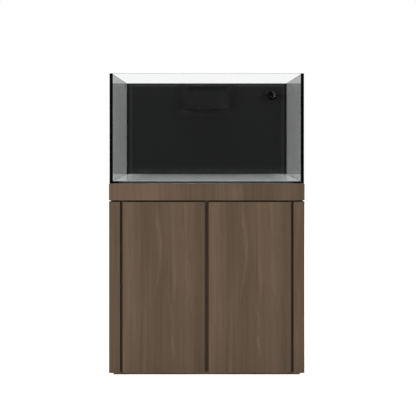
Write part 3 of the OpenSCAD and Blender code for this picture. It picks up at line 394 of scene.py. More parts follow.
def curedSilicone(name):
    # neutral-cure silicone tooled wet: black with a satin skin, slate grey in uneven blots along the middle of the
    # bottom joint, fading to black towards its ends
    made, add, place = newMaterial(name)
    split = add("SeparateXYZ", {0: place}, out=None)
    aside = add("Math", {0: split["X"]}, "ABSOLUTE")
    low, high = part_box("bottom_glass")
    # slate grey along the middle of the bottom joint, fading to black towards its ends
    middle = add("MapRange", {0: aside, 1: high.x - silicone["midGreyFull"] * mm,
                              2: high.x - silicone["midGreyFrom"] * mm, 3: 1.0, 4: 0.0})
    under = add("Math", {0: split["Z"], 1: high.z + 0.5 * mm}, "LESS_THAN")
    uneven = add("TexNoise", {"Vector": place, "Scale": waves(silicone["blots"]), "Detail": 2.0})
    uneven = add("MapRange", {0: uneven, 3: silicone["midGreyLeast"], 4: silicone["midGreyMost"]})
    midGreyShare = add("Math", {0: middle, 1: under}, "MULTIPLY")
    midGreyShare = add("Math", {0: midGreyShare, 1: uneven}, "MULTIPLY")
    black, midGrey = linear(silicone["black"]), linear(silicone["midGrey"])
    tone = add("Mix", {0: midGreyShare, 6: black, 7: midGrey}, **ofColours)
    # tool marks run up the joint, 2 mm apart
    drawn = add("Mapping", {0: place, "Scale": (1, 1, silicone["markStretch"])})
    tooled = add("TexNoise", {"Vector": drawn, "Scale": waves(silicone["marks"]), "Detail": 2.0})
    bump = add("Bump", {"Height": tooled, "Strength": 0.4, "Distance": silicone["markDepth"] * mm})
    skin = add("BsdfPrincipled", {"Base Color": tone, "Roughness": silicone["roughness"], "Normal": bump,
                                  "Specular IOR Level": silicone["specular"]})
    add("OutputMaterial", {0: skin})
    return made


foamTones = {
    # painted light: paler to the front, where more light falls, and darker towards the back; from the front edge
    # of the mat, 0, to its back edge, 1
    "depth": [(0.0, 1.0), (0.07, 1.0), (0.13, 0.74), (0.2, 0.68), (0.45, 0.65), (0.6, 0.63), (0.75, 0.58),
              (0.9, 0.53), (1.0, 0.48)],
    # painted light: paler towards the sides: its grey, mm in from them, and a share
    "sideLight": 0.96, "sideLightFrom": 120, "sideLightFull": 40, "sideLightShare": 0.95,
    # painted shade along the cut edge, which lies in shadow
    "edgeShade": "#3c3c3d", "edgeShadeFull": 2, "edgeShadeTo": 5,  # mm in from the cut edge
    "cell": 1.11, "cellDepth": 0.2,  # mm; real cells are near 0.4 mm, and are drawn wider so that they show
    "roughness": 0.85, "specular": 0.2,
}


def foamMat(name):
    # closed-cell foam, knife-cut and pressed under the tank: matt, with painted light that makes it paler to the
    # front and the sides, and painted shade along its cut edge
    made, add, place = newMaterial(name)
    split = add("SeparateXYZ", {0: place}, out=None)
    low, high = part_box("levelling_mat")
    # painted light: paler to the front and towards the sides
    depth = add("MapRange", {0: split["Y"], 1: low.y, 2: high.y})
    tone = add("ValToRGB", {0: depth}, stops=foamTones["depth"])
    aside = add("Math", {0: split["X"]}, "ABSOLUTE")
    sideLight = add("MapRange", {0: aside, 1: high.x - foamTones["sideLightFrom"] * mm,
                             2: high.x - foamTones["sideLightFull"] * mm, 4: foamTones["sideLightShare"]})
    tone = add("Mix", {0: sideLight, 6: tone, 7: (*[foamTones["sideLight"]] * 3, 1)}, **ofColours)
    # painted shade: darker along the cut edge
    inX = add("Math", {0: high.x, 1: aside}, "SUBTRACT")
    inY = add("Math", {0: split["Y"], 1: low.y}, "SUBTRACT")
    rim = add("Math", {0: inX, 1: inY}, "MINIMUM")
    edgeShade = add("MapRange", {0: rim, 1: foamTones["edgeShadeFull"] * mm, 2: foamTones["edgeShadeTo"] * mm,
                             3: 1.0, 4: 0.0})
    tone = add("Mix", {0: edgeShade, 6: tone, 7: linear(foamTones["edgeShade"])}, **ofColours)
    cells = add("TexVoronoi", {"Vector": place, "Scale": waves(foamTones["cell"])})
    bump = add("Bump", {"Height": cells, "Strength": 0.4, "Distance": foamTones["cellDepth"] * mm})
    skin = add("BsdfPrincipled", {"Base Color": tone, "Roughness": foamTones["roughness"], "Normal": bump,
                                  "Specular IOR Level": foamTones["specular"]})
    add("OutputMaterial", {0: skin})
    return made


film = {
    "darker": "#323232", "lighter": "#343434", "taped": "#4c4c4d", "paintedHalo": "#434343", "paintedShade": "#0c0c0c",
    # where each change of tone starts and ends, in mm
    "side": (38, 36), "sideShare": 0.5,  # in from the pane's sides
    "head": (18.5, 17.5),  # down from its top
    "foot": (24, 25), "footShare": 0.04,  # up from its foot
    # painted light round the weir box, against its shade: how far out it fades, and how much faster below the box
    "halo": (6, 64), "haloBelow": 1.5,  # out from the weir box, and how much faster below it
    # painted shade behind the weir box
    "shadeInset": 3, "shadeShare": 0.9,  # in from the weir box's outline
    "patches": 200, "ripple": 8.33, "rippleDepth": 0.03,
    "roughness": 0.7, "specular": 0.08,
}


def vinylFilm(name):
    # calendered vinyl film rolled onto the pane: matt black, paler where its edges are taped; painted light round
    # the weir box and painted shade behind it
    made, add, place = newMaterial(name)
    split = add("SeparateXYZ", {0: place}, out=None)
    height = split["Z"]
    aside = add("Math", {0: split["X"]}, "ABSOLUTE")
    low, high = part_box("back_glass")
    sideFrom, sideTo, headFrom, headTo, footFrom, footTo = (
        value * mm for key in ("side", "head", "foot") for value in film[key])
    sides = add("MapRange", {0: aside, 1: high.x - sideFrom, 2: high.x - sideTo, 4: film["sideShare"]})
    head = add("MapRange", {0: height, 1: high.z - headFrom, 2: high.z - headTo})
    foot = add("MapRange", {0: height, 1: low.z + footFrom, 2: low.z + footTo, 3: film["footShare"],
                            4: 0.0})
    strip = add("Math", {0: head, 1: foot}, "MAXIMUM")
    strip = add("Math", {0: sides, 1: strip}, "MAXIMUM")
    slow = add("TexNoise", {"Vector": place, "Scale": waves(film["patches"]), "Detail": 2.0})
    black = add("Mix", {0: slow, 6: linear(film["darker"]), 7: linear(film["lighter"])}, **ofColours)
    tone = add("Mix", {0: strip, 6: black, 7: linear(film["taped"])}, **ofColours)
    # painted light: paler round the weir box, lifting the shade that the box casts on the film, by the distance
    # beyond its sides and below its foot
    low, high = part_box("weir_box")
    beyond = add("Math", {0: add("Math", {0: aside, 1: high.x}, "SUBTRACT"), 1: 0.0}, "MAXIMUM")
    below = add("Math", {0: low.z, 1: height}, "SUBTRACT")
    below = add("Math", {0: add("Math", {0: below, 1: 0.0}, "MAXIMUM"), 1: film["haloBelow"]}, "MULTIPLY")
    away = add("CombineXYZ", {0: beyond, 1: below})
    away = add("VectorMath", {0: away}, "LENGTH", out=1)
    paintedHalo = add("MapRange", {0: away, 1: film["halo"][0] * mm, 2: film["halo"][1] * mm, 3: 1.0, 4: 0.0})
    tone = add("Mix", {0: paintedHalo, 6: tone, 7: linear(film["paintedHalo"])}, **ofColours)
    # painted shade: near black behind the box, where the box shades the film
    edge = film["shadeInset"] * mm
    beside = add("MapRange", {0: aside, 1: high.x - edge, 2: high.x, 3: 1.0, 4: 0.0})
    above = add("MapRange", {0: height, 1: low.z, 2: low.z + edge, 4: film["shadeShare"]})
    below = add("MapRange", {0: height, 1: high.z - edge, 2: high.z, 3: 1.0, 4: 0.0})
    above = add("Math", {0: above, 1: below}, "MULTIPLY")
    shade = add("Math", {0: beside, 1: above}, "MULTIPLY")
    tone = add("Mix", {0: shade, 6: tone, 7: linear(film["paintedShade"])}, **ofColours)
    fine = add("TexNoise", {"Vector": place, "Scale": waves(film["ripple"]), "Detail": 1.0})
    bump = add("Bump", {"Height": fine, "Strength": 0.15, "Distance": film["rippleDepth"] * mm})
    skin = add("BsdfPrincipled", {"Base Color": tone, "Roughness": film["roughness"], "Normal": bump,
                                  "Specular IOR Level": film["specular"]})
    add("OutputMaterial", {0: skin})
    return made


acrylic = dict(grain=40.0, depth=0.05, mottle=0.03, wear=0.02)  # long shallow waves of a cast sheet
materials = {
    # low-iron float glass, polished edges: clear faces, a faint green along them
    "tank_glass": floatGlass("lowIronFloatGlass", "#feffff", "#d8f0e8"),
    # ordinary float glass: greener through its edges
    "sump_glass": floatGlass("clearFloatGlass", "#f1f9f5", "#a8dcc4"),
    "silicone": curedSilicone("blackSilicone"),
    "vinyl_film": vinylFilm("blackVinylFilm"),
    "foam_mat": foamMat("whiteFoamMat"),
    # acrylic sheet, cast between glass plates: smooth deep black, softly glossy
    "black_acrylic": moulded("castBlackAcrylic", "#171718", 0.35, specular=0.2, **acrylic),
    # ABS from an etched mould: black with an even satin grain
    "black_abs": moulded("mouldedBlackAbs", "#121213", 0.45, wear=0.04),
    # ABS from a polished mould: jet black with a sharp gloss
    "nozzle_abs": moulded("glossyBlackAbs", "#020202", 0.3),
    # nitrile rubber, die-cut from sheet: dull black
    "gasket_rubber": moulded("blackGasketRubber", "#101010", 0.7),
    # PVC pipe, extruded: mid grey, with faint lines along it and light scuffs
    "grey_pvc": moulded("greyPvcPipe", "#4a4d50", 0.38, grain=2.0, stretch=(1, 1, 0.04), depth=0.04,
                        wear=0.08),
    # PVC fittings, injection moulded: pale grey and smooth
    "light_pvc": moulded("lightGreyPvc", "#8b8e90", 0.4, grain=2.0, wear=0.06),
    # polypropylene from a polished mould: warm white and glossy
    "white_pvc": moulded("whiteMouldedPlastic", "#e6e5df", 0.3),
    # ABS handles, moulded in colour: red and satin, rubbed a little pale by hands
    "red_handle": moulded("redMouldedAbs", "#a3201a", 0.4, wear=0.05),
    # polyester felt, needle-punched: white, quite matt and fluffy
    "felt": moulded("polyesterFelt", "#e9e8e2", 0.95, grain=1.0, depth=0.5),
    # glass-filled polypropylene, moulded: charcoal with a slight sheen
    "pump_black": moulded("blackPumpHousing", "#1f2023", 0.42, wear=0.06),
    # birch plywood, sanded: pale straw and matt
    "birch_ply": moulded("birchPlywood", "#b99a70", 0.7, grain=4.0),
    # steel pins, blackened: dark and half glossy
    "steel": moulded("blackenedSteel", "#3a3a3b", 0.4, metallic=1.0),
    # nickel plate on magnets and screws: bright, a warm grey
    "nickel": moulded("nickelPlate", "#c9c7c2", 0.18, metallic=1.0),
    "walnut_laminate": walnutLaminate("walnutBoard", (0, 0), (0.6, 0.8), panelTop),
}


def frontBoard(node, name, top, **settings):
    # a board seen from the front, its figure laid out on its own width and height
    low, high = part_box(node)
    ownMaterial[node] = walnutLaminate(name, (low.x, low.z), (high.x, high.z), top, **settings)


# boards with a figure of their own, and two black pieces with a second tone
ownMaterial = {}
for side in ("left", "right"):
    frontBoard(side + "_door", side + "DoorWalnut", doorTop, foot=doorFoot, reach=doorReach,
               streaks=doorStreaks, brightness=0.975, figure=1.3)
frontBoard("front_fascia", "fasciaWalnut", fasciaTop, warm=0.14, brightness=0.86, figure=1.7)
frontBoard("corner_posts", "postWalnut", postTop, brightness=0.91, figure=1.8)
for name in ("left_side_panel", "right_side_panel", "side_fascias"):
    low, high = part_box(name)
    ownMaterial[name] = walnutLaminate(name + "Walnut", (low.y, 0.0), (high.y, 0.8), panelTop, across="Y")
# the comb is paler across the top, where its teeth are, and the weir box is painted near black behind its front
# wall as painted shade
ownMaterial["weir_comb"] = moulded("combBlackAcrylic", "#161618", 0.4, specular=0.12, **acrylic, zone=(
    "Z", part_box("weir_comb")[1].z - 11 * mm, "#363638"))
ownMaterial["weir_box"] = moulded("weirBlackAcrylic", "#161616", 0.35, specular=0.2, **acrylic, zone=(
    "Y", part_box("weir_box")[0].y + 5.2 * mm, "#040404"))
# painted light and shade: the face frame and the plinth, seen in shaded recesses, are made paler, and the shadow
# board in its gap darker
for name, brightness in (("face_frame", 1.1), ("shadow_board", 0.42), ("plinth_board", 1.2)):
    frontBoard(name, name + "Walnut", panelTop, brightness=brightness)
low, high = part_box("deck_board")
ownMaterial["deck_board"] = walnutLaminate("deckWalnut", (low.y, low.x), (high.y, high.x), panelTop,
                                           across="Y", along="X")
print("materials made:", len(materials) + len(ownMaterial))

# solids with rounded corners, by the width of the rounding in mm and its steps
rounding = {
    (0.2, 1): "left_strikes right_strikes",
    (0.3, 1): "front_glass left_glass right_glass back_glass bottom_glass pump_impeller door_pivots"
              " door_magnets",
    (0.4, 1): "stand_pipes gate_valve_gate",
    (0.4, 2): "bulkhead_gaskets",
    (0.5, 1): "sump_floor sump_walls sump_baffles",
    (0.5, 2): "weir_box weir_comb drain_pipe_upper drain_pipe_lower emergency_pipe return_riser return_tail"
              " pump_strainer",
    (0.6, 2): "overflow_box pipe_clips base_board face_frame shadow_board",
    (0.8, 2): "overflow_lid weir_bulkheads drain_bulkheads bulkhead_nuts return_bulkhead ball_valve_body"
              " sock_shelf pump_motor pump_volute plinth_board rear_panel",
    (0.8, 3): "left_side_panel right_side_panel corner_posts deck_board front_fascia side_fascias left_door"
              " right_door",
    (1.0, 2): "gate_valve_body load_frame",
}


def finishPiece(made, slot, body, material=None, crease=35):
    # into the scene with its material, smooth but for edges sharper than the crease in degrees
    scene.collection.objects.link(made)
    made.data.materials.clear()
    made.data.materials.append(material or materials[slot])
    made.data.shade_smooth()
    made.data.set_sharp_from_angle(angle=math.radians(crease))
    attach(made, body)


def easedCopy(name, width, steps):
    # the node's own solid with its flat faces joined up and its corners rounded
    work = bmesh.new()
    work.from_mesh(nodes[name].data)
    bmesh.ops.remove_doubles(work, verts=work.verts, dist=0.001 * mm)
    bmesh.ops.dissolve_limit(work, angle_limit=math.radians(0.6), verts=work.verts, edges=work.edges)
    mesh = bpy.data.meshes.new(name + "_eased")
    work.to_mesh(mesh)
    work.free()
    made = bpy.data.objects.new(name + "_eased", mesh)
    finishPiece(made, slotOf[name], bodyOf[name], ownMaterial.get(name))
    bevel = made.modifiers.new("roundedCorners", "BEVEL")
    bevel.width = width * mm
    bevel.segments = steps
    bevel.limit_method = "ANGLE"
    bevel.angle_limit = math.radians(32)
    bevel.harden_normals = steps > 1
    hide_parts(name)


for (width, steps), names in rounding.items():
    for name in names.split():
        easedCopy(name, width, steps)
for name, node in nodes.items():
    node.material_slots[0].material = ownMaterial.get(name) or materials[slotOf[name]]
print("solids rounded")


# lofted pieces
def skin(rings, start, capped, looped):
    # quads between rings of points, each as long as the next; a loop joins the last ring to the first
    count = len(rings[0])
    grid = start + np.arange(len(rings) * count).reshape(len(rings), count)
    here, there = (grid, np.roll(grid, -1, axis=0)) if looped else (grid[:-1], grid[1:])
    corners = here, np.roll(here, -1, axis=1), np.roll(there, -1, axis=1), there
    faces = np.stack(corners, axis=-1).reshape(-1, 4).tolist()
    if not looped:
        faces += [grid[0][::-1].tolist()] * capped[0] + [grid[-1].tolist()] * capped[1]
    return faces


def loft(name, rings, slot, body, capped=(True, True), looped=False, crease=40, material=None, others=()):
    # a piece from one skin, or from several closed ones, each given as its rings and whether it is a loop
    points, faces = [], []
    skins = [(rings, capped, looped)] + [(shape, (True, True), joined) for shape, joined in others]
    for shape, caps, joined in skins:
        faces += skin(shape, sum(map(len, points)), caps, joined)
        points.append(np.concatenate(shape))
    mesh = bpy.data.meshes.new(name)
    mesh.from_pydata(np.concatenate(points).tolist(), [], faces)
    work = bmesh.new()
    work.from_mesh(mesh)
    if looped or all(capped):
        bmesh.ops.recalc_face_normals(work, faces=work.faces)
    work.to_mesh(mesh)
    work.free()
    made = bpy.data.objects.new(name, mesh)
    finishPiece(made, slot, body, material, crease)
    return made


def lathed(profile, centre, axis, count=96, ripple=None):
    # a turned shape: centre + distance along the axis + radius * (cosine * side + sine * other) of the angle;
    # each profile point is a radius and a distance in mm, and the ripple adds to the radius
    axis = np.array(axis, float) / np.linalg.norm(axis)
    side = np.cross(axis, (0, 0, 1) if abs(axis[2]) < 0.9 else (1, 0, 0))
    side /= np.linalg.norm(side)
    other = np.cross(axis, side)
    angle = np.arange(count) * 2 * math.pi / count
    radius, along = np.array(profile, float).T[:, :, None]
    reach = radius + (ripple(angle, np.arange(len(profile))[:, None]) if ripple else 0 * angle)
    spoke = np.cos(angle)[:, None] * side + np.sin(angle)[:, None] * other
    return (np.array(centre) + axis * along[..., None] + reach[..., None] * spoke) * mm


def arc(centre, radius, first, last, steps):
    # points round an arc: centre + radius * (cosine, sine) of each angle, given in degrees
    turn = np.radians(np.linspace(first, last, steps))
    return np.stack([centre[0] + radius * np.cos(turn), centre[1] + radius * np.sin(turn)], axis=-1).tolist()


def boxMiddle(node):
    # the middle of a node's box, in mm
    low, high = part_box(node)
    return 500 * (np.array(low) + np.array(high))


# the return nozzle: a ball with a rolled lip round its mouth, in a collar with finger grips
nozzle = {
    "ball": 19.5, "mouth": 13.0, "lip": 1.1, "yaw": 42, "pitch": 4,
    "throat": [(-0.6, 4.0), (-1.6, -6.0), (-3.8, -14.0)],  # change from the mouth's radius, and depth
    "grips": 30, "gripDepth": 0.5,
    # the collar: radius, and distance back from the wall's face
    "collar": [(19.9, 24.0), (19.9, 38.2), (20.5, 39.0), (21.7, 38.8), (22.3, 37.8), (22.5, 36.5),
               (22.5, 14.0), (22.5, 6.0), (24.2, 5.6), (25.0, 4.8), (25.0, 0.0), (16.3, 0.0), (16.3, 12.0)],
    "gripped": (5, 6),  # the collar's points between which the grips run
}
ballAt = np.array(pivotOf["nozzle_swing"]) * 1000
yaw, pitch = math.radians(nozzle["yaw"]), math.radians(nozzle["pitch"])
mouthWay = (-math.sin(yaw) * math.cos(pitch), -math.cos(yaw) * math.cos(pitch), math.sin(pitch))
mouthRim = nozzle["mouth"] + 2 * nozzle["lip"]
edge = math.degrees(math.acos(mouthRim / nozzle["ball"]))
profile = arc((0, 0), nozzle["ball"], -62, edge, 30)
profile += arc((nozzle["mouth"] + nozzle["lip"], profile[-1][1] + 0.3), nozzle["lip"], 0, 180, 9)
profile += [(nozzle["mouth"] + change, depth) for change, depth in nozzle["throat"]]
# ABS from a polished mould: jet black, glossy outside and matt inside the ball
ballAbs = moulded("ballBlackAbs", "#020202", 0.28, hollow=((ballAt * mm).tolist(), nozzle["ball"] * mm))
eyeball = loft("nozzle_ball_turned", lathed(profile, ballAt, mouthWay), "nozzle_abs", "nozzle_ball",
               looped=True, material=ballAbs)
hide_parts("nozzle_eyeball")


def grips(angle, index):
    # radius change = - depth * (half + half * cosine of the grips' count times the angle) to the power 3
    first, last = nozzle["gripped"]
    return -nozzle["gripDepth"] * (0.5 + 0.5 * np.cos(nozzle["grips"] * angle)) ** 3 * (
        (index >= first) & (index <= last))


wall = 1000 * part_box("nozzle_collar")[1].y
profile = [(radius, wall - back) for radius, back in nozzle["collar"]]
# the same plastic from an etched mould: quite matt
collarAbs = moulded("nozzleBlackAbs", "#030303", 0.7, specular=0.06, wear=0.01)
collar = loft("nozzle_collar_gripped", lathed(profile, ballAt * (1, 0, 1), (0, 1, 0), 240, grips),
              "black_abs", "nozzle_ring", looped=True, material=collarAbs)
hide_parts("nozzle_collar")

# the levelling mat: pressed foam with a slightly wavy cut edge
mat = {"wave": 0.5, "edge": 0.3, "steps": 220}  # mm, mm and points along each side
low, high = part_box("levelling_mat")


def matRing(height, inward):
    # the outline in even steps, moved in by a sum of three sines along it that fades at the corners
    corners = np.array([(low.x, low.y), (high.x, low.y), (high.x, high.y), (low.x, high.y)])[:, None]
    inwards = np.array([(0, 1), (-1, 0), (0, -1), (1, 0)])[:, None]
    side, t = np.arange(4)[:, None], np.linspace(0, 1, mat["steps"], endpoint=False)
    ends = np.minimum(1.0, 40 * np.minimum(t, 1 - t))
    wave = mat["wave"] * (0.5 + 0.2 * np.sin(37 * t + side) + 0.2 * np.sin(91 * t + 2 * side)
                          + 0.1 * np.sin(203 * t))
    outline = corners + (np.roll(corners, -1, axis=0) - corners) * t[:, None] + inwards * (
        (wave * ends + inward) * mm)[..., None]
    return np.dstack([outline, np.full(outline.shape[:2], height)]).reshape(-1, 3)


edge = mat["edge"] * mm
foam = loft("levelling_mat_pressed", [matRing(low.z, mat["edge"]), matRing(low.z + edge, 0.0),
                                      matRing(high.z - edge, 0.0), matRing(high.z + 0.02 * mm, mat["edge"])],
            "foam_mat", "stand_and_tank")
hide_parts("levelling_mat")

# the filter sock: a moulded ring and a felt bag that hangs from it in shallow folds
sock = {
    "fold": 0.9, "folds": 7, "felt": 2.2, "foot": 14.0, "slack": 1.0, "ringWidth": 8.0,
    "seam": 0.8, "seamAt": 4.4, "seamWidth": 0.035,  # mm, and its place and half width as angles
    "hems": (2, 36), "footFrom": 49,  # the bag's rings that hold a hem, and where its flat foot starts
}
low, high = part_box("filter_sock")
sockAt = boxMiddle("filter_sock") * (1, 1, 0)
rim, top, foot = 500 * (high.x - low.x), 1000 * high.z, 1000 * low.z
bag = rim - sock["ringWidth"]
profile = [(bag - 2.3, top - 6), (bag - 2.3, top - 1.6), (bag - 1.4, top - 0.3), (bag, top),
           (rim - 5.5, top - 0.4), (rim - 4.5, top - 1.6), (rim - 3.5, top - 1.6), (rim - 2.6, top - 0.3),
           (rim - 1.2, top), (rim - 0.2, top - 1.2), (rim, top - 3.4), (rim - 0.6, top - 5.6),
           (rim - 2, top - 6)]
ring = loft("sock_ring_moulded", lathed(profile, sockAt, (0, 0, 1), 120), "white_pvc", "sock", looped=True)
hangsAt = bag - sock["slack"]
down = [(bag - 1.6, top - 5.5), (bag - 1.2, top - 7.0)]
down += [(hangsAt, z) for z in np.linspace(top - 12, foot + sock["foot"] + 4, 34)]
down += arc((hangsAt - sock["foot"], foot + sock["foot"]), sock["foot"], 0, -88, 12)
down += [(r, foot + 0.3) for r in (30, 22, 14, 7, 1.5)]


def hangs(angle, index):
    # folds deepen down the bag: - depth * share down * (half + half * sine of folds * angle + a slow turn),
    # and the sewn seam stands out: + height * e to the power -(angle off the seam / its width) squared
    firstHem, lastHem = sock["hems"]
    share = np.minimum(1.0, index / lastHem) * np.where(index < sock["footFrom"], 1, 0.3)
    seam = sock["seam"] * np.exp(-((angle - sock["seamAt"]) / sock["seamWidth"]) ** 2) * (
        (index >= firstHem) & (index < sock["footFrom"]))
    hem = sock["seam"] * 0.7 * ((index == firstHem) | (index == lastHem))
    return seam + hem - sock["fold"] * share * (0.5 + 0.5 * np.sin(sock["folds"] * angle + 0.05 * index)) - (
        0.25 * share * (1 + np.sin(3 * angle - 0.11 * index)))


bagPiece = loft("sock_bag_felt", lathed(down, sockAt, (0, 0, 1), 200, hangs), "felt", "sock",
                capped=(False, True))
thick = bagPiece.modifiers.new("feltThickness", "SOLIDIFY")
thick.thickness = sock["felt"] * mm
thick.offset = -1
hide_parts("filter_sock")
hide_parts("filter_sock")

# the gate valve's handwheel: a lobed rim on five waisted spokes, held by a screw
wheel = {"rim": 4.0, "lobes": 12, "lobeDepth": 1.0, "hub": 8.0, "hubLength": 14.0, "stem": 3.0,
         "spokes": 5, "spoke": 5.0, "spokeThick": 2.0, "waist": 0.28, "spokeFrom": 6.0}
low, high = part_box("gate_valve_wheel")
wheelAt = boxMiddle("gate_valve_wheel")
wheelAt[1] = 1000 * low.y + wheel["hubLength"] / 2
wheelRadius = 500 * (high.z - low.z) - wheel["rim"]


def lobedRim():
    # a ring of round sections that shrink on their outer side between lobes:
    # reach = rim - depth * (half + half * cosine of lobes * angle) * the section's outward share
    angle, phi = np.linspace(0, 2 * math.pi, 144, endpoint=False)[:, None], np.arange(14) * 2 * math.pi / 14
    hollow = wheel["lobeDepth"] * (0.5 + 0.5 * np.cos(wheel["lobes"] * angle)) * np.maximum(0, np.cos(phi))
    reach = wheel["rim"] - hollow
    way = np.stack([np.cos(angle), 0 * angle, np.sin(angle)], axis=-1)
    return (wheelAt + way * (wheelRadius + reach * np.cos(phi))[..., None]
            + np.array([0, 1, 0]) * (reach * np.sin(phi))[..., None]) * mm


def bar(start, way, across, thick, stations):
    # a bar of sections |x / half width| to the power 3 + |y / half thickness| to the power 3 = 1;
    # each station is a distance along it, a half width and a half thickness
    turn = np.arange(20) * 2 * math.pi / 20
    wide = (np.sign(np.cos(turn)) * np.abs(np.cos(turn)) ** (2 / 3))[:, None]
    deep = (np.sign(np.sin(turn)) * np.abs(np.sin(turn)) ** (2 / 3))[:, None]
    along, half, depth = np.array(stations, float).T[:, :, None, None]
    return (np.array(start) + np.array(way) * along + half * wide * across + depth * deep * thick) * mm


def waistedSpoke(angle):
    # half width * (1 - waist * sine of the way out)
    way = np.array([math.cos(angle), 0, math.sin(angle)])
    out = np.linspace(wheel["spokeFrom"], wheelRadius, 9)
    share = np.sin(math.pi * (out - wheel["spokeFrom"]) / (wheelRadius - wheel["spokeFrom"]))
    half = wheel["spoke"] / 2 * (1 - wheel["waist"] * share)
    stations = np.stack([out, half, np.full(len(out), wheel["spokeThick"])], axis=-1)
    return bar(wheelAt, way, np.array([-way[2], 0, way[0]]), np.array([0, 1, 0]), stations)


radius, hub, stemRadius, tip = wheel["hub"], wheel["hubLength"] / 2, wheel["stem"], 1000 * high.y - wheelAt[1]
boss = [(3.6, -hub + 1.2), (3.8, -hub), (radius - 1.2, -hub), (radius - 0.2, -hub + 0.6),
        (radius, -hub + 1.6), (radius, hub - 1.4), (radius - 0.8, hub), (stemRadius + 0.2, hub)]
stem = [(stemRadius - 0.4, 0.0), (stemRadius, 0.4), (stemRadius, tip - 0.5), (stemRadius - 0.5, tip)]
others = [(waistedSpoke(2 * math.pi * k / wheel["spokes"]), False) for k in range(wheel["spokes"])]
others += [(lathed(boss, wheelAt, (0, 1, 0), 48), False), (lathed(stem, wheelAt, (0, 1, 0), 32), False)]
handwheel = loft("gate_wheel_moulded", lobedRim(), "red_handle", bodyOf["gate_valve_wheel"], looped=True,
                 others=others)
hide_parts("gate_valve_wheel")

# cross-head screws that hold the wheel and the lever
screw = {"head": [(3.2, 0.9), (3.3, 0.4), (3.0, -0.3), (2.3, -0.8), (1.5, -1.0)],
         "recess": [(0.9, 0.0), (0.6, 0.5), (0.15, 0.6)]}  # shares of the top's radius, and depths in mm


def crossScrew(name, centre, body):
    # a pan head facing the front; its recess's outline is
    # radius * share * (0.35 + 0.65 * |cosine of twice the angle| to the power 6)
    rings = lathed(screw["head"], centre, (0, 1, 0), 40)
    crown = rings[-1]
    middle = crown.mean(axis=0)
    share, depth = np.array(screw["recess"]).T[:, :, None]
    reach = share * (0.35 + 0.65 * np.abs(np.cos(2 * np.arange(40) * 2 * math.pi / 40)) ** 6)
    inner = middle + (crown - middle) * reach[..., None] + np.array([0, 1, 0]) * depth[..., None] * mm
    return loft(name, np.concatenate([rings, inner]), "nickel", body)


crossScrew("wheel_screw", wheelAt - (0, hub - 1.2, 0), bodyOf["gate_valve_wheel"])

# the ball valve's lever: a waisted arm with a rounded end on a round hub, held by a screw
lever = {"hub": 12.0, "hubThick": 6.0, "thick": 5.0, "ease": 0.2, "width": 16.0, "waist": 1.8, "stem": 5.0,
         "armFrom": 5.0}
low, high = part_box("ball_valve_lever")
valveLow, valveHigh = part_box("ball_valve_body")
leverAt = np.array([500 * (low.x + high.x), 1000 * low.y, 500 * (valveLow.z + valveHigh.z)])
end, broad = 1000 * high.z - leverAt[2], lever["width"] / 2
# the arm narrows by waist * sine squared of the way up it, and ends in a half circle that thins to its tip
up, turn = np.linspace(lever["armFrom"], end - broad, 16), np.linspace(0.15, 1.53, 9)
shank = [up, broad - lever["waist"] * np.sin(math.pi * up / (end - broad)) ** 2,
         np.full(len(up), lever["thick"] / 2 - lever["ease"])]
tip = [end - broad + broad * np.sin(turn), broad * np.cos(turn) + 0.05,
       lever["thick"] / 2 * (0.5 + 0.42 * np.cos(turn))]
arm = bar(leverAt + (0, lever["thick"] / 2, 0), (0, 0, 1), np.array([1, 0, 0]), np.array([0, 1, 0]),
          np.concatenate([shank, tip], axis=1).T)
radius, thickness, stemRadius, reach = lever["hub"], lever["hubThick"], lever["stem"], 1000 * (high.y - low.y)
disc = [(3.7, 1.0), (3.9, 0.0), (radius - 0.9, 0.0), (radius, 0.9), (radius, thickness - 0.6),
        (radius - 0.6, thickness), (stemRadius + 0.5, thickness)]
stem = [(stemRadius - 0.5, 2.0), (stemRadius, 2.5), (stemRadius, reach - 0.5), (stemRadius - 0.5, reach)]
turned = loft("ball_valve_lever_moulded", arm, "red_handle", bodyOf["ball_valve_lever"], others=[
    (lathed(disc, leverAt, (0, 1, 0), 64), False), (lathed(stem, leverAt, (0, 1, 0), 32), False)])
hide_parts("ball_valve_lever")
crossScrew("lever_screw", leverAt + (0, 1.1, 0), bodyOf["ball_valve_lever"])

# the unions' ribbed nuts, above and below the ball valve and on the pump
nut = {"bore": 16.2, "radius": 23.0, "height": 10.0, "rib": 1.3, "ribs": 16, "ribbed": (3, 4)}
bore, radius, height = nut["bore"], nut["radius"], nut["height"]
profile = [(bore, 0.5), (bore + 0.6, 0), (radius - 0.8, 0), (radius, 0.8), (radius, height - 2),
           (radius - 1.2, height - 0.7), (radius - 2.6, height), (bore + 0.6, height), (bore, height - 0.5)]


def ribs(angle, index):
    # radius change = rib * (half + half * cosine of ribs * angle) to the power 2
    first, last = nut["ribbed"]
    return nut["rib"] * (0.5 + 0.5 * np.cos(nut["ribs"] * angle)) ** 2 * ((index >= first) & (index <= last))


low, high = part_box("union_nuts")
nutAt = boxMiddle("union_nuts")
nuts = [lathed(profile, (nutAt[0], nutAt[1], base), (0, 0, 1), 192, ribs)
        for base in (1000 * low.z, 1000 * valveLow.z - height, 1000 * valveHigh.z)]
ribbed = loft("union_nuts_ribbed", nuts[0], slotOf["union_nuts"], bodyOf["union_nuts"], looped=True,
              others=[(rings, True) for rings in nuts[1:]])
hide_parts("union_nuts")

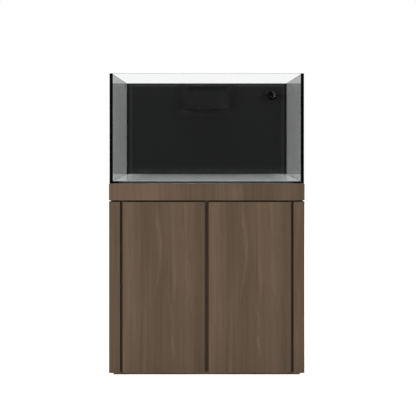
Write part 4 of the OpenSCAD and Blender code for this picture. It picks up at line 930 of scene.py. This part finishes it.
# silicone fillets along the sump's inner joints
bead = {"size": 4.0, "inGlass": 0.05, "belowRim": 3.0, "belowBaffle": 2.0}
low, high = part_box("sump_walls")
glass, floorTop = 1000 * (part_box("sump_floor")[1].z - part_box("sump_floor")[0].z), 1000 * low.z
left, right = 1000 * low.x + glass, 1000 * high.x - glass
front, back, rim = 1000 * low.y + glass, 1000 * high.y - glass, 1000 * high.z
upFront, upBack = ((front, (0, 1, 0)), (back, (0, -1, 0)))
fromLeft, fromRight = ((left, (1, 0, 0)), (right, (-1, 0, 0)))
up = (0, 0, 1)


def fillet(start, finish, first, second):
    # a concave quarter round between two glass faces that open along first and second:
    # size * (1 - sine, 1 - cosine) of an angle from one face to the other
    turn = np.linspace(0.02, math.pi / 2 - 0.02, 7)
    curve = bead["size"] * (1 - np.stack([np.sin(turn), np.cos(turn)], axis=-1))
    section = np.concatenate([[(-bead["inGlass"], -bead["inGlass"])], curve])
    ends = np.array([start, finish], float)[:, None]
    return (ends + section[:, :1] * np.array(first) + section[:, 1:] * np.array(second)) * mm


beads = [fillet((x, y, floorTop), (x, y, rim - bead["belowRim"]), wayX, wayY)
         for x, wayX in (fromLeft, fromRight) for y, wayY in (upFront, upBack)]
beads += [fillet((left, y, floorTop), (right, y, floorTop), wayY, up) for y, wayY in (upFront, upBack)]
beads += [fillet((x, front, floorTop), (x, back, floorTop), wayX, up) for x, wayX in (fromLeft, fromRight)]
# each baffle has two faces across the sump: the even ones open to the left and the odd ones to the right
mesh = nodes["sump_baffles"].data
flat = np.empty(3 * len(mesh.vertices), np.float32)
mesh.vertices.foreach_get("co", flat)
corners = flat.astype(float).reshape(-1, 3) * 1000
for k, x in enumerate(np.unique(corners[:, 0].round(2))):
    heights = corners[np.abs(corners[:, 0] - x) < 0.02, 2]
    foot, head = heights.min(), heights.max() - bead["belowBaffle"]
    way = (1 if k % 2 else -1, 0, 0)
    beads += [fillet((x, y, foot), (x, y, head), way, wayY) for y, wayY in (upFront, upBack)]
    if foot < floorTop + 1:
        beads.append(fillet((x, front, floorTop), (x, back, floorTop), way, up))
# black silicone, tooled with a wet finger: satin and smooth
loft("sump_fillets", beads[0], "silicone", bodyOf["sump_walls"], others=[(one, False) for one in beads[1:]],
     material=moulded("sumpBlackSilicone", "#0b0b0c", 0.4, grain=3.0, depth=0.1, specular=0.3))
print("lofted pieces made")
